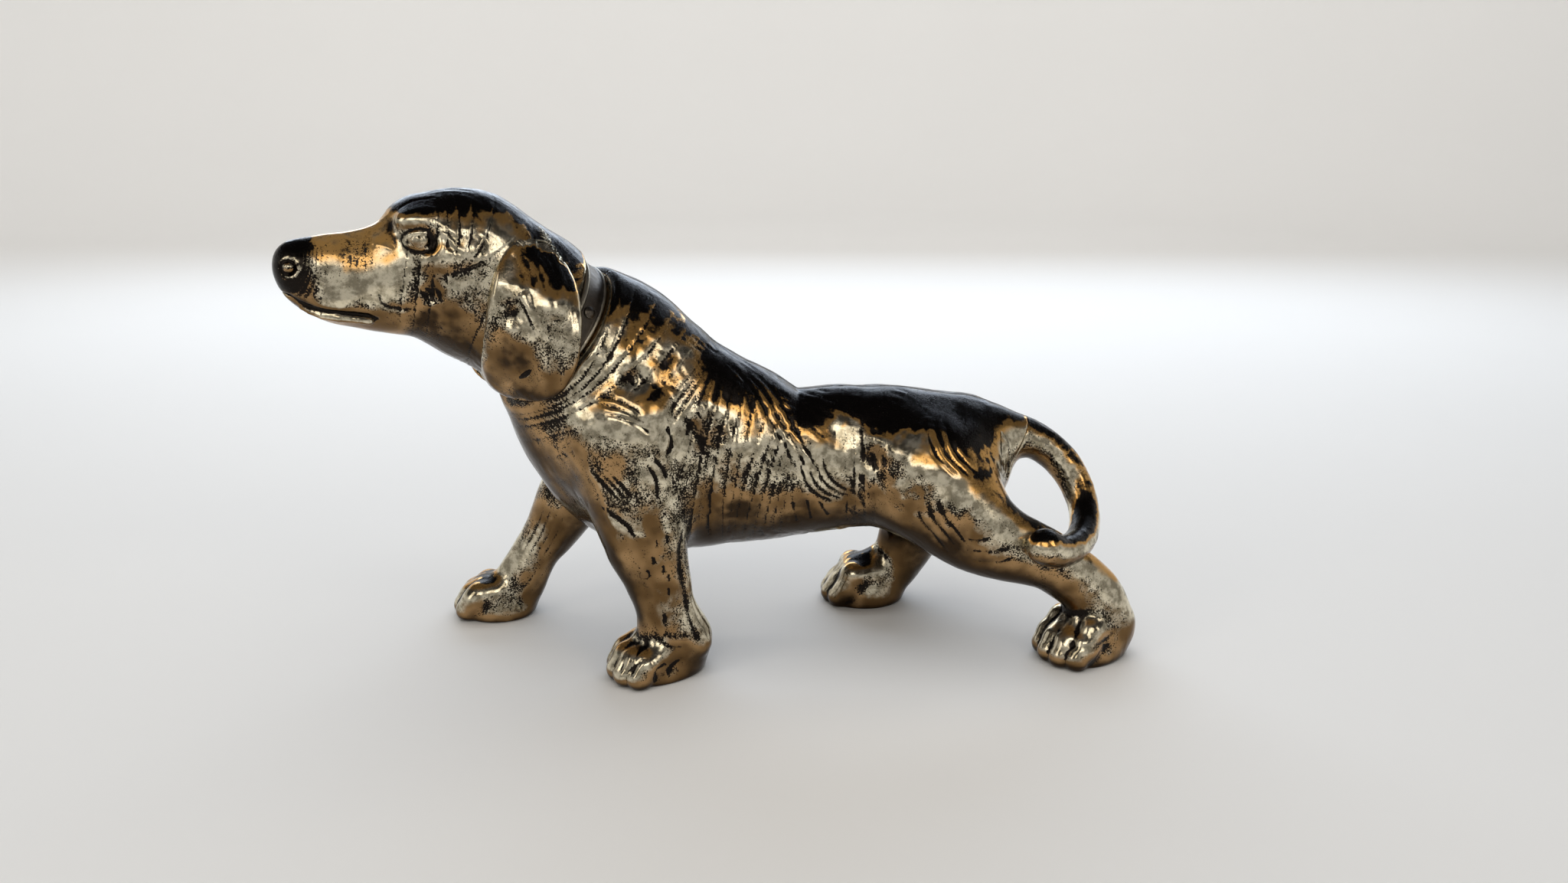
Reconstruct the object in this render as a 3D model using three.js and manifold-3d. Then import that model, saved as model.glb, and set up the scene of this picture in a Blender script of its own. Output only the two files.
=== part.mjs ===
// Cast metal dog, standing low with its head stretched forward and its tail curled down to one hock.
// Millimetres. x runs from nose to tail, y from the dog's left to its right, z up from the floor.
// The soft forms are blended distance fields closed into meshes; what fits or fastens is turned.
import * as THREE from "three";
import { mergeVertices } from "three/addons/utils/BufferGeometryUtils.js";
import Module from "manifold-3d";

const wasm = await Module();
wasm.setup();

// Castings
const wall = 3.2; // of the hollow body
const headWall = 4.2;
const clearance = 0.3; // between pieces that touch

// Mesh sizes
const bodyCell = 7.5;
const pawCell = 4;
const headCell = 4.8;
const tailCell = 3.8;
const cavityCell = 10;
const earRings = 6;
const earSectors = 24;
const roundSides = 18; // of bores, bosses and spigots
const fieldRoom = 6; // that a field's mesh is given round its balls, for the fillets
const pawRoom = 20; // that a paw's fine mesh is given round the paw
const pawTop = 21; // the fine mesh of the paws ends at this height

// Torso sections from the neck to the rump: place of the centre, full height and full width
const torso = {
  neckEnd: { x: -80, z: 119, height: 54, width: 52 },
  withers: { x: -67, z: 107, height: 70, width: 54 },
  chest: { x: -48, z: 82, height: 82, width: 58 },
  ribs: { x: -22, z: 75, height: 69, width: 52 },
  waist: { x: -2, z: 70, height: 57, width: 46 },
  loin: { x: 20, z: 71, height: 54, width: 44 },
  croup: { x: 42, z: 71.5, height: 52, width: 45 },
  rump: { x: 62, z: 69, height: 50, width: 44 },
};

// Legs from top to pastern: centre and radius, with the leg's width over its depth
const legFlat = 0.78;
const foreLeft = {
  shoulder: { x: -57, y: -20, z: 88, r: 21 },
  upperArm: { x: -54, y: -23, z: 70, r: 18 },
  elbow: { x: -51, y: -27, z: 53, r: 14.5 },
  forearm: { x: -47.5, y: -28, z: 39, r: 11.6 },
  wrist: { x: -44.5, y: -28.5, z: 26, r: 10.4 },
  pastern: { x: -41, y: -27.5, z: 12.5, r: 12.8 },
};
const foreRight = {
  shoulder: { x: -60, y: 20, z: 88, r: 21 },
  upperArm: { x: -68, y: 23, z: 68, r: 17 },
  elbow: { x: -80, y: 26, z: 51, r: 12.8 },
  forearm: { x: -89, y: 28, z: 36, r: 10.2 },
  wrist: { x: -97.4, y: 29, z: 24, r: 8.8 },
  pastern: { x: -104, y: 29, z: 12, r: 9.5 },
};
const hindLeft = {
  hip: { x: 51, y: -16, z: 67, r: 22 },
  thigh: { x: 61, y: -21, z: 58, r: 18.5 },
  stifle: { x: 70, y: -25, z: 50, r: 15.5 },
  shank: { x: 80, y: -27, z: 44.5, r: 12.8 },
  tendon: { x: 97, y: -28, z: 37.5, r: 10.4 },
  hock: { x: 112.7, y: -28, z: 25.5, r: 10.2 },
  pastern: { x: 118.5, y: -28, z: 12, r: 11.5 },
};
const hindRight = {
  hip: { x: 54, y: 16, z: 66, r: 22 },
  thigh: { x: 58, y: 22, z: 48, r: 17 },
  shank: { x: 57, y: 27, z: 33, r: 13 },
  hock: { x: 52, y: 29, z: 19, r: 10.7 },
  pastern: { x: 44, y: 29, z: 10, r: 10.8 },
};

// Paws: middle of the sole, turn outwards in degrees, length, width and height of the instep
const paws = {
  foreLeft: { x: -48, y: -28, turn: 30, length: 38, width: 25, height: 15 },
  foreRight: { x: -115, y: 29, turn: -8, length: 32, width: 24, height: 15 },
  hindLeft: { x: 111, y: -28, turn: 28, length: 37, width: 26, height: 18 },
  hindRight: { x: 35, y: 29, turn: -6, length: 33, width: 24, height: 18 },
};
const toeCount = 4;
const toeRadius = 4.6;
const toeCurve = 1.3; // how far each toe falls back for each step from the paw's middle, squared
const knuckleDrop = 1.5; // of the knuckles below the top of the instep

// Fillets between forms that are cast as one
const fillets = {
  torso: 6,
  rump: 7,
  shoulder: 9,
  leg: 5,
  pastern: 4,
  paw: 3,
  toes: 1.2,
  tailStub: 4,
  tail: 2,
  skull: 5,
  face: 3,
  cheek: 5,
  muzzle: 4,
  neck: 4,
  throat: 8,
  crease: 0.1, // where forms only meet
};

// Head: place and turn of its own frame, in which points are forward, left and up of the skull's base
const headAt = { x: -95, y: -3, z: 148 };
const headTurn = 22; // degrees towards the dog's left
const skull = { forward: 12, up: 2.5, height: 42, width: 38 };
const brow = { forward: 28, up: 9, height: 28, width: 30 };
const muzzleRoot = { forward: 40, up: -4.2, height: 33, width: 25 };
const muzzleMiddle = { forward: 54, up: -3.4, height: 30, width: 21 };
const muzzleFront = { forward: 63.5, up: -0.8, height: 23, width: 17.5 };
const nose = { forward: 68, up: 2.8, height: 14, width: 13.5 };
const jawHinge = { forward: 13, up: -10, height: 42, width: 38 };
const throat = { forward: -1.5, up: -15.5, height: 55.5, width: 46 };

// Ears, in the head's frame: outline centre, half sizes, lean, thickness, and the peg that locates each
const earAt = { forward: -2, up: -17 };
const earDepth = 16.5;
const earLength = 30;
const earNarrow = 0.2; // share of its depth that the ear loses at its root
const earLean = 10; // degrees, lobe forward
const earThick = 5;
const earRim = 2.4; // thickness at its edge
const earHang = 20; // how far out its middle hangs where nothing is under it
const earCurl = 6; // how much closer in its ends hang
const earFillet = 6; // of the dents that it bridges
const earClearance = 0.5; // to the faceted forms under it
const earSink = 3; // how far its blank reaches into those forms before the cut
const earPegRadius = 2;
const earPegLength = 5;
const earPegRoot = 3; // how far out of the skull's side each peg starts
const earPegAt = { forward: 2, up: 2 };

// Collar: centre, rise and turn of the neck's axis, strap section and studs
const collarAt = { x: -85.5, y: -2, z: 124.5 };
const collarRise = 40; // degrees
const collarTurn = 32; // degrees towards the dog's left
const collarRadius = 27;
const strapWidth = 8;
const strapThick = 1.8;
const neckUnderStrap = 0.5; // how far the strap stands over the neck beside it
const rimWidth = 1;
const rimProud = 0.7;
const studRadius = 2.2;
const studHeight = 1.5;
const studShank = 0.9;
const studSides = 10;
const studAngles = [70, 125, 180, 235, 290]; // from the top of the neck, over the dog's left

// Neck joint: lip of the body, spigot and flange of the head
const lipThick = 4;
const spigotRadius = 16;
const spigotBore = 12;
const flangeRadius = 18.8;
const flangeThick = 2.5;
const neckSides = 32;

// Tail: centre line and radius from the root to the blunt tip
const tailPoints = {
  start: { x: 62, y: 0, z: 79, r: 11 },
  rump: { x: 78, y: 0, z: 80.5, r: 9 },
  joint: { x: 90, y: 0, z: 78.5, r: 7.7 },
  back: { x: 100, y: 0, z: 74, r: 6.9 },
  bend: { x: 108, y: -1.5, z: 67, r: 6.5 },
  drop: { x: 113, y: -5, z: 58.5, r: 6 },
  foot: { x: 114, y: -12, z: 51, r: 5.7 },
  turn: { x: 111, y: -21, z: 46, r: 5.6 },
  ahead: { x: 105, y: -30, z: 44.5, r: 5.6 },
  rest: { x: 97.5, y: -36, z: 45, r: 6 },
  tip: { x: 91, y: -38.5, z: 48, r: 6.6 },
};
const stubCount = 3; // points from the first to the joint, where the body ends and the tail starts
const tailSeatCount = 5; // points, from the tip, that are let into the leg
const tailSpigotRadius = 4.2;
const tailSpigotLength = 15;

// Screws that hold the halves: places in side view, and sizes
const screwsAt = {
  front: { x: -44, z: 84 },
  middle: { x: 8, z: 71 },
  rear: { x: 56, z: 71 },
};
const screwRadius = 2;
const screwHead = 4;
const screwSlotWidth = 1;
const screwSlotDepth = 0.9;
const screwHeadDepth = 2.6;
const screwSink = 1.4; // of the head below the surface
const screwGrip = 13; // of the thread in the left boss
const bossRadius = 5.6;

const cutLength = 90; // past the end of anything that a cut goes through
const farAway = 1e3; // from every surface
const probe = 0.1; // step of the searches for a surface

const castMetal = new THREE.MeshStandardMaterial({ color: 0x9a9684, roughness: 0.28, metalness: 1 });
const darkMetal = new THREE.MeshStandardMaterial({ color: 0x6f685c, roughness: 0.35, metalness: 1 });
const screwMetal = new THREE.MeshStandardMaterial({ color: 0x7d776a, roughness: 0.4, metalness: 1 });

const radians = (degrees) => (degrees * Math.PI) / 180;

// Joins two distances with a fillet of about the given radius
function blend(a, b, fillet) {
  const h = Math.max(fillet - Math.abs(a - b), 0) / fillet;
  return Math.min(a, b) - (h * h * fillet) / 4;
}

// Tapered limb between two balls, its width being flat times its depth
function limb(from, to, flat = 1) {
  const dx = to.x - from.x;
  const dy = to.y - from.y;
  const dz = to.z - from.z;
  const fromFlat = from.flat ?? flat;
  const toFlat = to.flat ?? flat;
  return (x, y, z) => {
    const px = x - from.x;
    const py = y - from.y;
    const pz = z - from.z;
    const along = (px * dx + py * dy + pz * dz) / (dx * dx + dy * dy + dz * dz);
    const t = Math.min(1, Math.max(0, along));
    const narrow = fromFlat + t * (toFlat - fromFlat);
    const away = Math.hypot(px - t * dx, (py - t * dy) / narrow, pz - t * dz);
    return away - (from.r + t * (to.r - from.r));
  };
}

// Ellipsoid, turned about z by an angle in degrees
function lump(at, halves, turn = 0) {
  const c = Math.cos(radians(turn));
  const s = Math.sin(radians(turn));
  return (x, y, z) => {
    const u = (x - at.x) * c + (y - at.y) * s;
    const v = (y - at.y) * c - (x - at.x) * s;
    const w = z - at.z;
    const near = Math.hypot(u / halves[0], v / halves[1], w / halves[2]);
    const far = Math.hypot(u / halves[0] ** 2, v / halves[1] ** 2, w / halves[2] ** 2);
    return far === 0 ? -Math.min(...halves) : (near * (near - 1)) / far;
  };
}

// Row of upright oval sections whose height and width are each reduced by twice the inset
function ovals(sections, inset, fillet) {
  const parts = [];
  for (let i = 0; i + 1 < sections.length; i++) {
    const a = sections[i];
    const b = sections[i + 1];
    const dx = b.x - a.x;
    const dz = b.z - a.z;
    parts.push((x, y, z) => {
      const along = ((x - a.x) * dx + (z - a.z) * dz) / (dx * dx + dz * dz);
      const t = Math.min(1, Math.max(0, along));
      const high = (a.height + t * (b.height - a.height)) / 2 - inset;
      const wide = (a.width + t * (b.width - a.width)) / 2 - inset;
      const away = Math.hypot(x - a.x - t * dx, z - a.z - t * dz, ((y - (a.y ?? 0)) * high) / wide);
      return away - high;
    });
  }
  return joined(parts, fillet);
}

function joined(fields, fillet) {
  return (x, y, z) => fields.reduce((sum, field) => blend(sum, field(x, y, z), fillet), farAway);
}

function chain(balls, fillet, flat) {
  return joined(
    balls.slice(1).map((ball, i) => limb(balls[i], ball, flat)),
    fillet,
  );
}

// Paw with its toes spread in a fan at the front
function pawField(paw) {
  const turn = radians(paw.turn);
  const forward = [-Math.cos(turn), -Math.sin(turn)];
  const side = [Math.sin(turn), -Math.cos(turn)];
  const place = (ahead, across, z, r) => ({
    x: paw.x + forward[0] * ahead + side[0] * across,
    y: paw.y + forward[1] * ahead + side[1] * across,
    z,
    r,
  });
  const foot = toeRadius - 1; // height of the middle of the toes
  const { length, width, height } = paw;
  const instep = lump(place(-2, 0, foot), [length * 0.42, width * 0.44, height - foot], paw.turn);
  const pad = lump(place(-1, 0, foot / 2), [length * 0.46, width * 0.47, height * 0.6], paw.turn);
  const toes = [];
  for (let i = 0; i < toeCount; i++) {
    const across = i - (toeCount - 1) / 2;
    const pitch = (width - 2 * toeRadius) / (toeCount - 1);
    const reach = length / 2 - toeRadius - across * across * toeCurve;
    const knuckle = place(1, across * pitch * 0.9, height - toeRadius - knuckleDrop, toeRadius);
    const tip = place(reach, across * pitch, foot, toeRadius);
    toes.push(limb(knuckle, tip));
  }
  return joined([joined([instep, pad], fillets.paw), joined(toes, fillets.toes)], fillets.paw);
}

// The neck's frame: out along the neck, across to the dog's left, and over its top
function neckAxes() {
  const rise = radians(collarRise);
  const turn = radians(collarTurn);
  const out = new THREE.Vector3(
    -Math.cos(rise) * Math.cos(turn),
    -Math.cos(rise) * Math.sin(turn),
    Math.sin(rise),
  );
  const left = new THREE.Vector3(Math.sin(turn), -Math.cos(turn), 0);
  return { out, left, top: new THREE.Vector3().crossVectors(left, out).negate() };
}

const neck = neckAxes();
const neckStart = new THREE.Vector3(collarAt.x, collarAt.y, collarAt.z);
const lipFace = -strapWidth / 2 - clearance; // where the body's lip begins, along the neck
const flangeFront = lipFace - lipThick - clearance;

// Distance along the neck's axis from the middle of the strap, and away from that axis
function alongNeck(x, y, z) {
  const p = new THREE.Vector3(x, y, z).sub(neckStart);
  const along = p.dot(neck.out);
  return { along, away: Math.sqrt(Math.max(0, p.lengthSq() - along * along)) };
}

// A point of the head's frame in the dog's frame
function headPoint(forward, left, up) {
  const turn = radians(headTurn);
  return {
    x: headAt.x - forward * Math.cos(turn) + left * Math.sin(turn),
    y: headAt.y - forward * Math.sin(turn) - left * Math.cos(turn),
    z: headAt.z + up,
  };
}

// A field written in the head's frame as x backwards, y right and z up, moved to the dog's frame
function inHead(field) {
  const c = Math.cos(radians(headTurn));
  const s = Math.sin(radians(headTurn));
  return (x, y, z) => {
    const dx = x - headAt.x;
    const dy = y - headAt.y;
    return field(dx * c + dy * s, dy * c - dx * s, z - headAt.z);
  };
}

const headSection = (part) => ({ x: -part.forward, z: part.up, height: part.height, width: part.width });

const torsoSections = Object.values(torso);
const tailLine = Object.values(tailPoints);
const screws = Object.values(screwsAt);
const torsoField = ovals(torsoSections, 0, fillets.torso);
const tailField = chain(tailLine, fillets.tail);
const stubField = chain(tailLine.slice(0, stubCount + 1), fillets.tailStub);
const legFields = [foreLeft, foreRight, hindLeft, hindRight].map((leg) =>
  chain(Object.values(leg), fillets.leg, legFlat),
);
const pawFields = Object.values(paws).map(pawField);

function bodyField(x, y, z) {
  let d = torsoField(x, y, z);
  d = blend(d, stubField(x, y, z), fillets.rump);
  legFields.forEach((leg, i) => {
    d = blend(d, blend(leg(x, y, z), pawFields[i](x, y, z), fillets.pastern), fillets.shoulder);
  });
  return d;
}

function headSolidField(inset) {
  const skullRow = ovals([jawHinge, skull, brow].map(headSection), inset, fillets.skull);
  const faceRow = [muzzleRoot, muzzleMiddle, muzzleFront, nose].map(headSection);
  const face = ovals(faceRow, inset, fillets.face);
  const cheek = ovals([jawHinge, muzzleRoot].map(headSection), inset, fillets.face);
  return inHead((x, y, z) => {
    const back = blend(skullRow(x, y, z), cheek(x, y, z), fillets.cheek);
    return blend(back, face(x, y, z), fillets.muzzle);
  });
}

function neckField(inset) {
  const throatFlat = throat.width / throat.height;
  const balls = [
    { ...headPoint(jawHinge.forward, 0, jawHinge.up), r: jawHinge.height / 2 - inset, flat: throatFlat },
    { ...headPoint(throat.forward, 0, throat.up), r: throat.height / 2 - inset, flat: throatFlat },
    { ...collarAt, r: collarRadius - neckUnderStrap - inset, flat: 1 },
  ];
  return chain(balls, fillets.neck);
}

const headOuter = headSolidField(0);
const neckOuter = neckField(0);

function headField(x, y, z) {
  return blend(headOuter(x, y, z), neckOuter(x, y, z), fillets.throat);
}

// Closes the zero surface of a field: a vertex in each cell that it crosses, a quad over each crossed edge
function fieldSolid(field, low, high, cell) {
  const n = low.map((v, i) => Math.ceil((high[i] - v) / cell) + 1);
  const index = (i, j, k) => i + n[0] * (j + n[1] * k);
  const values = new Float64Array(n[0] * n[1] * n[2]);
  for (let k = 0; k < n[2]; k++)
    for (let j = 0; j < n[1]; j++)
      for (let i = 0; i < n[0]; i++)
        values[index(i, j, k)] = field(low[0] + i * cell, low[1] + j * cell, low[2] + k * cell);
  clearCrossedFaces(values, n, index);
  const vertices = [];
  const vertexOf = new Map();
  const corner = (c) => [c & 1, (c >> 1) & 1, (c >> 2) & 1];
  for (let k = 0; k + 1 < n[2]; k++)
    for (let j = 0; j + 1 < n[1]; j++)
      for (let i = 0; i + 1 < n[0]; i++) {
        const sum = [0, 0, 0];
        let crossings = 0;
        for (let c = 0; c < 8; c++)
          for (let axis = 0; axis < 3; axis++) {
            if (corner(c)[axis]) continue;
            const [a, b, e] = corner(c);
            const end = corner(c | (1 << axis));
            const va = values[index(i + a, j + b, k + e)];
            const vb = values[index(i + end[0], j + end[1], k + end[2])];
            if (va < 0 === vb < 0) continue;
            const t = va / (va - vb);
            [a, b, e].forEach((v, m) => (sum[m] += v + (m === axis ? t : 0)));
            crossings++;
          }
        if (!crossings) continue;
        const start = [i, j, k];
        const p = sum.map((v, m) => low[m] + (start[m] + v / crossings) * cell);
        vertexOf.set(index(i, j, k), vertices.length / 3);
        vertices.push(...ontoSurface(field, p, start.map((v, m) => low[m] + v * cell), cell));
      }
  const triangles = [];
  for (let axis = 0; axis < 3; axis++) {
    const u = (axis + 1) % 3;
    const v = (axis + 2) % 3;
    for (let k = 0; k + 1 < n[2]; k++)
      for (let j = 0; j + 1 < n[1]; j++)
        for (let i = 0; i + 1 < n[0]; i++) {
          const at = [i, j, k];
          if (at[u] < 1 || at[v] < 1) continue;
          const next = [...at];
          next[axis]++;
          const inside = values[index(...at)] < 0;
          if (inside === values[index(...next)] < 0) continue;
          const quad = [[0, 0], [1, 0], [1, 1], [0, 1]].map(([du, dv]) => {
            const cellAt = [...at];
            cellAt[u] -= du;
            cellAt[v] -= dv;
            return vertexOf.get(index(...cellAt));
          });
          if (!inside) quad.reverse();
          triangles.push(...splitQuad(quad, vertices));
        }
  }
  return new wasm.Manifold(
    new wasm.Mesh({
      numProp: 3,
      vertProperties: new Float32Array(vertices),
      triVerts: new Uint32Array(triangles),
    }),
  );
}

// Where a grid face has its corners inside and outside by turns, the nearest to the surface changes side
function clearCrossedFaces(values, n, index) {
  for (let pass = 0, found = true; found && pass < 20; pass++) {
    found = false;
    for (let axis = 0; axis < 3; axis++) {
      const u = (axis + 1) % 3;
      const v = (axis + 2) % 3;
      for (let k = 0; k < n[2]; k++)
        for (let j = 0; j < n[1]; j++)
          for (let i = 0; i < n[0]; i++) {
            const at = [i, j, k];
            if (at[u] + 1 >= n[u] || at[v] + 1 >= n[v]) continue;
            const face = [[0, 0], [1, 0], [1, 1], [0, 1]].map(([du, dv]) => {
              const c = [...at];
              c[u] += du;
              c[v] += dv;
              return index(...c);
            });
            const side = face.map((c) => values[c] < 0);
            if (side[0] !== side[2] || side[1] !== side[3] || side[0] === side[1]) continue;
            const least = face.reduce((a, b) => (Math.abs(values[b]) < Math.abs(values[a]) ? b : a));
            values[least] = values[least] < 0 ? 1e-3 : -1e-3;
            found = true;
          }
    }
  }
}

// Moves a point along the field's slope to its zero, kept inside the point's own cell
function ontoSurface(field, p, low, cell) {
  const h = 0.01;
  const margin = 0.04 * cell;
  let q = p;
  for (let step = 0; step < 3; step++) {
    const f = field(...q);
    const slope = [0, 1, 2].map((m) => {
      const r = [...q];
      r[m] += h;
      return (field(...r) - f) / h;
    });
    const size = slope.reduce((s, v) => s + v * v, 0);
    if (size < 1e-6) break;
    q = q.map((v, m) => {
      const moved = v - (f * slope[m]) / size;
      return Math.min(low[m] + cell - margin, Math.max(low[m] + margin, moved));
    });
  }
  return q;
}

// Cuts a quad along its shorter diagonal
function splitQuad([a, b, c, d], vertices) {
  const gap = (i, j) =>
    Math.hypot(...[0, 1, 2].map((m) => vertices[3 * i + m] - vertices[3 * j + m]));
  return gap(a, c) < gap(b, d) ? [a, b, c, a, c, d] : [b, c, d, b, d, a];
}

// A closed geometry as a solid that can be joined and cut
function solidOf(geometry) {
  const bare = geometry.clone();
  bare.deleteAttribute("normal");
  bare.deleteAttribute("uv");
  const merged = mergeVertices(bare, 1e-4);
  return new wasm.Manifold(
    new wasm.Mesh({
      numProp: 3,
      vertProperties: new Float32Array(merged.attributes.position.array),
      triVerts: new Uint32Array(merged.index.array),
    }),
  );
}

function geometryOf(solid) {
  const mesh = solid.getMesh();
  const positions = new Float32Array(mesh.numVert * 3);
  for (let i = 0; i < mesh.numVert; i++)
    positions.set(mesh.vertProperties.subarray(i * mesh.numProp, i * mesh.numProp + 3), i * 3);
  const geometry = new THREE.BufferGeometry();
  geometry.setAttribute("position", new THREE.BufferAttribute(positions, 3));
  geometry.setIndex(new THREE.BufferAttribute(new Uint32Array(mesh.triVerts), 1));
  geometry.computeVertexNormals();
  return geometry;
}

// Turned piece from [radius, height] points, with its height laid along a direction from a start point
function turned(profile, start, direction, sides) {
  const geometry = new THREE.LatheGeometry(
    profile.map(([r, h]) => new THREE.Vector2(r, h)),
    sides,
  );
  const turn = new THREE.Quaternion().setFromUnitVectors(new THREE.Vector3(0, 1, 0), direction);
  geometry.applyQuaternion(turn);
  geometry.translate(start.x, start.y, start.z);
  return solidOf(geometry);
}

const rod = (radius, from, to, start, direction, sides = roundSides) =>
  turned([[0, from], [radius, from], [radius, to], [0, to]], start, direction, sides);

function ring(inner, outer, from, to, start, direction, sides) {
  const profile = [[inner, from], [outer, from], [outer, to], [inner, to], [inner, from]];
  return turned(profile, start, direction, sides);
}

function block(low, high) {
  const size = high.map((v, i) => v - low[i]);
  const geometry = new THREE.BoxGeometry(...size);
  geometry.translate(...low.map((v, i) => v + size[i] / 2));
  return solidOf(geometry);
}

const tailJoint = tailLine[stubCount - 1];
const tailRoot = new THREE.Vector3(tailJoint.x, tailJoint.y, tailJoint.z);
const tailRadius = tailJoint.r;
const tailNext = tailLine[stubCount];
const tailOut = new THREE.Vector3(tailNext.x, tailNext.y, tailNext.z).sub(tailRoot).normalize();

// Box round balls given by their centres and radii, with room for the fillets between them
function boxOf(balls, room) {
  const axes = ["x", "y", "z"];
  return {
    low: axes.map((axis) => Math.min(...balls.map((b) => (b[axis] ?? 0) - b.r)) - room),
    high: axes.map((axis) => Math.max(...balls.map((b) => (b[axis] ?? 0) + b.r)) + room),
  };
}

const bodyBalls = [
  ...torsoSections.map((s) => ({ ...s, r: Math.max(s.height, s.width) / 2 })),
  ...[foreLeft, foreRight, hindLeft, hindRight].flatMap((leg) => Object.values(leg)),
  ...Object.values(paws).map((paw) => ({ ...paw, z: 0, r: Math.max(paw.length / 2, paw.height) })),
  ...tailLine.slice(0, stubCount + 1),
];
const bodyBox = boxOf(bodyBalls, fieldRoom);
const across = new THREE.Vector3(0, 1, 0);

// How far out the right half reaches over a screw
function rightSurface(screw) {
  let y = cutLength;
  while (bodyField(screw.x, y, screw.z) > 0) y -= probe;
  return y;
}

function screwHoles() {
  return screws.map((screw) => {
    const start = new THREE.Vector3(screw.x, 0, screw.z);
    const seat = rightSurface(screw) - screwSink;
    const r = screwRadius + clearance;
    const head = screwHead + clearance;
    const profile = [
      [0, -screwGrip - clearance],
      [r, -screwGrip - clearance],
      [r, seat - screwHeadDepth],
      [head, seat],
      [head, cutLength],
      [0, cutLength],
    ];
    return turned(profile, start, across, roundSides);
  });
}

// Foot of a leg up to the height where the coarser mesh takes over
function fineFoot(paw) {
  const reach = paw.length / 2 + pawRoom;
  const top = pawTop + 2 * pawCell;
  const side = (x, y) => Math.max(Math.abs(x - paw.x), Math.abs(y - paw.y)) - reach + 2 * pawCell;
  const field = (x, y, z) => Math.max(bodyField(x, y, z), z - top, side(x, y));
  const low = [paw.x - reach, paw.y - reach, -paw.height - pawCell];
  const high = [paw.x + reach, paw.y + reach, top + 2 * pawCell];
  const foot = fieldSolid(field, low, high, pawCell);
  return foot.trimByPlane([0, 0, -1], -pawTop - 0.01).trimByPlane([0, 0, 1], 0);
}

function bodyWhole() {
  let body = fieldSolid(bodyField, bodyBox.low, bodyBox.high, bodyCell).trimByPlane([0, 0, 1], pawTop);
  for (const paw of Object.values(paws)) body = body.add(fineFoot(paw));
  const cavity = ovals(torsoSections, wall, fillets.torso);
  const hollow = fieldSolid(
    (x, y, z) => Math.max(cavity(x, y, z), alongNeck(x, y, z).along - lipFace + lipThick),
    bodyBox.low,
    bodyBox.high,
    cavityCell,
  );
  const bosses = screws.map((screw) => {
    const start = new THREE.Vector3(screw.x, 0, screw.z);
    return rod(bossRadius, -cutLength, cutLength, start, across);
  });
  const tailBoss = rod(tailSpigotRadius + wall, -tailSpigotLength - wall, 0, tailRoot, tailOut);
  const outer = body;
  body = body.subtract(hollow);
  for (const boss of [...bosses, tailBoss]) body = body.add(boss.intersect(outer));
  for (const hole of screwHoles()) body = body.subtract(hole);
  body = body.subtract(rod(2 * collarRadius, lipFace, cutLength, neckStart, neck.out));
  const flangeRoom = flangeFront - flangeThick - clearance;
  const lipBack = lipFace - lipThick;
  body = body.subtract(rod(spigotRadius + clearance, flangeRoom, 0, neckStart, neck.out, neckSides));
  body = body.subtract(rod(flangeRadius + clearance, flangeRoom, lipBack, neckStart, neck.out, neckSides));
  body = body.subtract(rod(2 * tailRadius, 0, cutLength, tailRoot, tailOut));
  const socket = -tailSpigotLength - clearance;
  body = body.subtract(rod(tailSpigotRadius + clearance, socket, 1, tailRoot, tailOut));
  return body.subtract(tailSeat());
}

// Hollow in the near hind leg that takes the tip of the tail
function tailSeat() {
  const tip = tailLine.slice(-tailSeatCount);
  const field = chain(tip.map((ball) => ({ ...ball, r: ball.r + clearance })), fillets.tail);
  const { low, high } = boxOf(tip, fieldRoom);
  return fieldSolid(field, low, high, tailCell);
}

function largest(solid) {
  return solid.decompose().reduce((a, b) => (b.volume() > a.volume() ? b : a));
}

function bodyHalves() {
  const body = bodyWhole();
  return {
    left: largest(body.trimByPlane([0, -1, 0], clearance / 2)),
    right: largest(body.trimByPlane([0, 1, 0], clearance / 2)),
  };
}

function headSolid() {
  const parts = [skull, brow, muzzleRoot, muzzleMiddle, muzzleFront, nose, jawHinge, throat];
  const balls = parts.map((p) => ({ ...headPoint(p.forward, 0, p.up), r: p.height / 2 }));
  const { low, high } = boxOf([...balls, { ...collarAt, r: collarRadius }], fieldRoom);
  let solid = fieldSolid(headField, low, high, headCell);
  const back = -strapWidth / 2;
  const inNeck = neckField(headWall);
  const inSkull = headSolidField(headWall);
  const cavityField = (x, y, z) =>
    Math.max(Math.min(inSkull(x, y, z), inNeck(x, y, z)), back + wall - alongNeck(x, y, z).along);
  const cavity = largest(fieldSolid(cavityField, low, high, cavityCell));
  solid = solid.subtract(rod(2 * collarRadius, -cutLength, back, neckStart, neck.out, neckSides));
  const channel = collarRadius - strapThick - clearance;
  const front = strapWidth / 2 + clearance;
  solid = solid.subtract(ring(channel, 2 * collarRadius, back - 1, front, neckStart, neck.out, neckSides));
  const flangeBack = flangeFront - flangeThick;
  solid = solid.add(rod(spigotRadius, flangeBack, back + 1, neckStart, neck.out, neckSides));
  solid = solid.add(rod(flangeRadius, flangeBack, flangeFront, neckStart, neck.out, neckSides));
  solid = solid.subtract(cavity);
  solid = solid.subtract(rod(spigotBore, -cutLength, back + 2 * wall, neckStart, neck.out, neckSides));
  for (const side of [1, -1]) {
    solid = solid.subtract(earPeg(side, earPegRadius + clearance, earPegLength + clearance));
  }
  return largest(solid);
}

// Peg from the inside of an ear into the side of the skull; side is 1 on the dog's left
function earPeg(side, radius, depth) {
  const from = headPoint(earPegAt.forward, side * (skull.width / 2 + earPegRoot), earPegAt.up);
  const to = headPoint(earPegAt.forward, side * (skull.width / 2 - depth), earPegAt.up);
  const start = new THREE.Vector3(from.x, from.y, from.z);
  const end = new THREE.Vector3(to.x, to.y, to.z);
  const length = start.distanceTo(end);
  return rod(radius, 0, length, start, end.sub(start).normalize());
}

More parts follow.
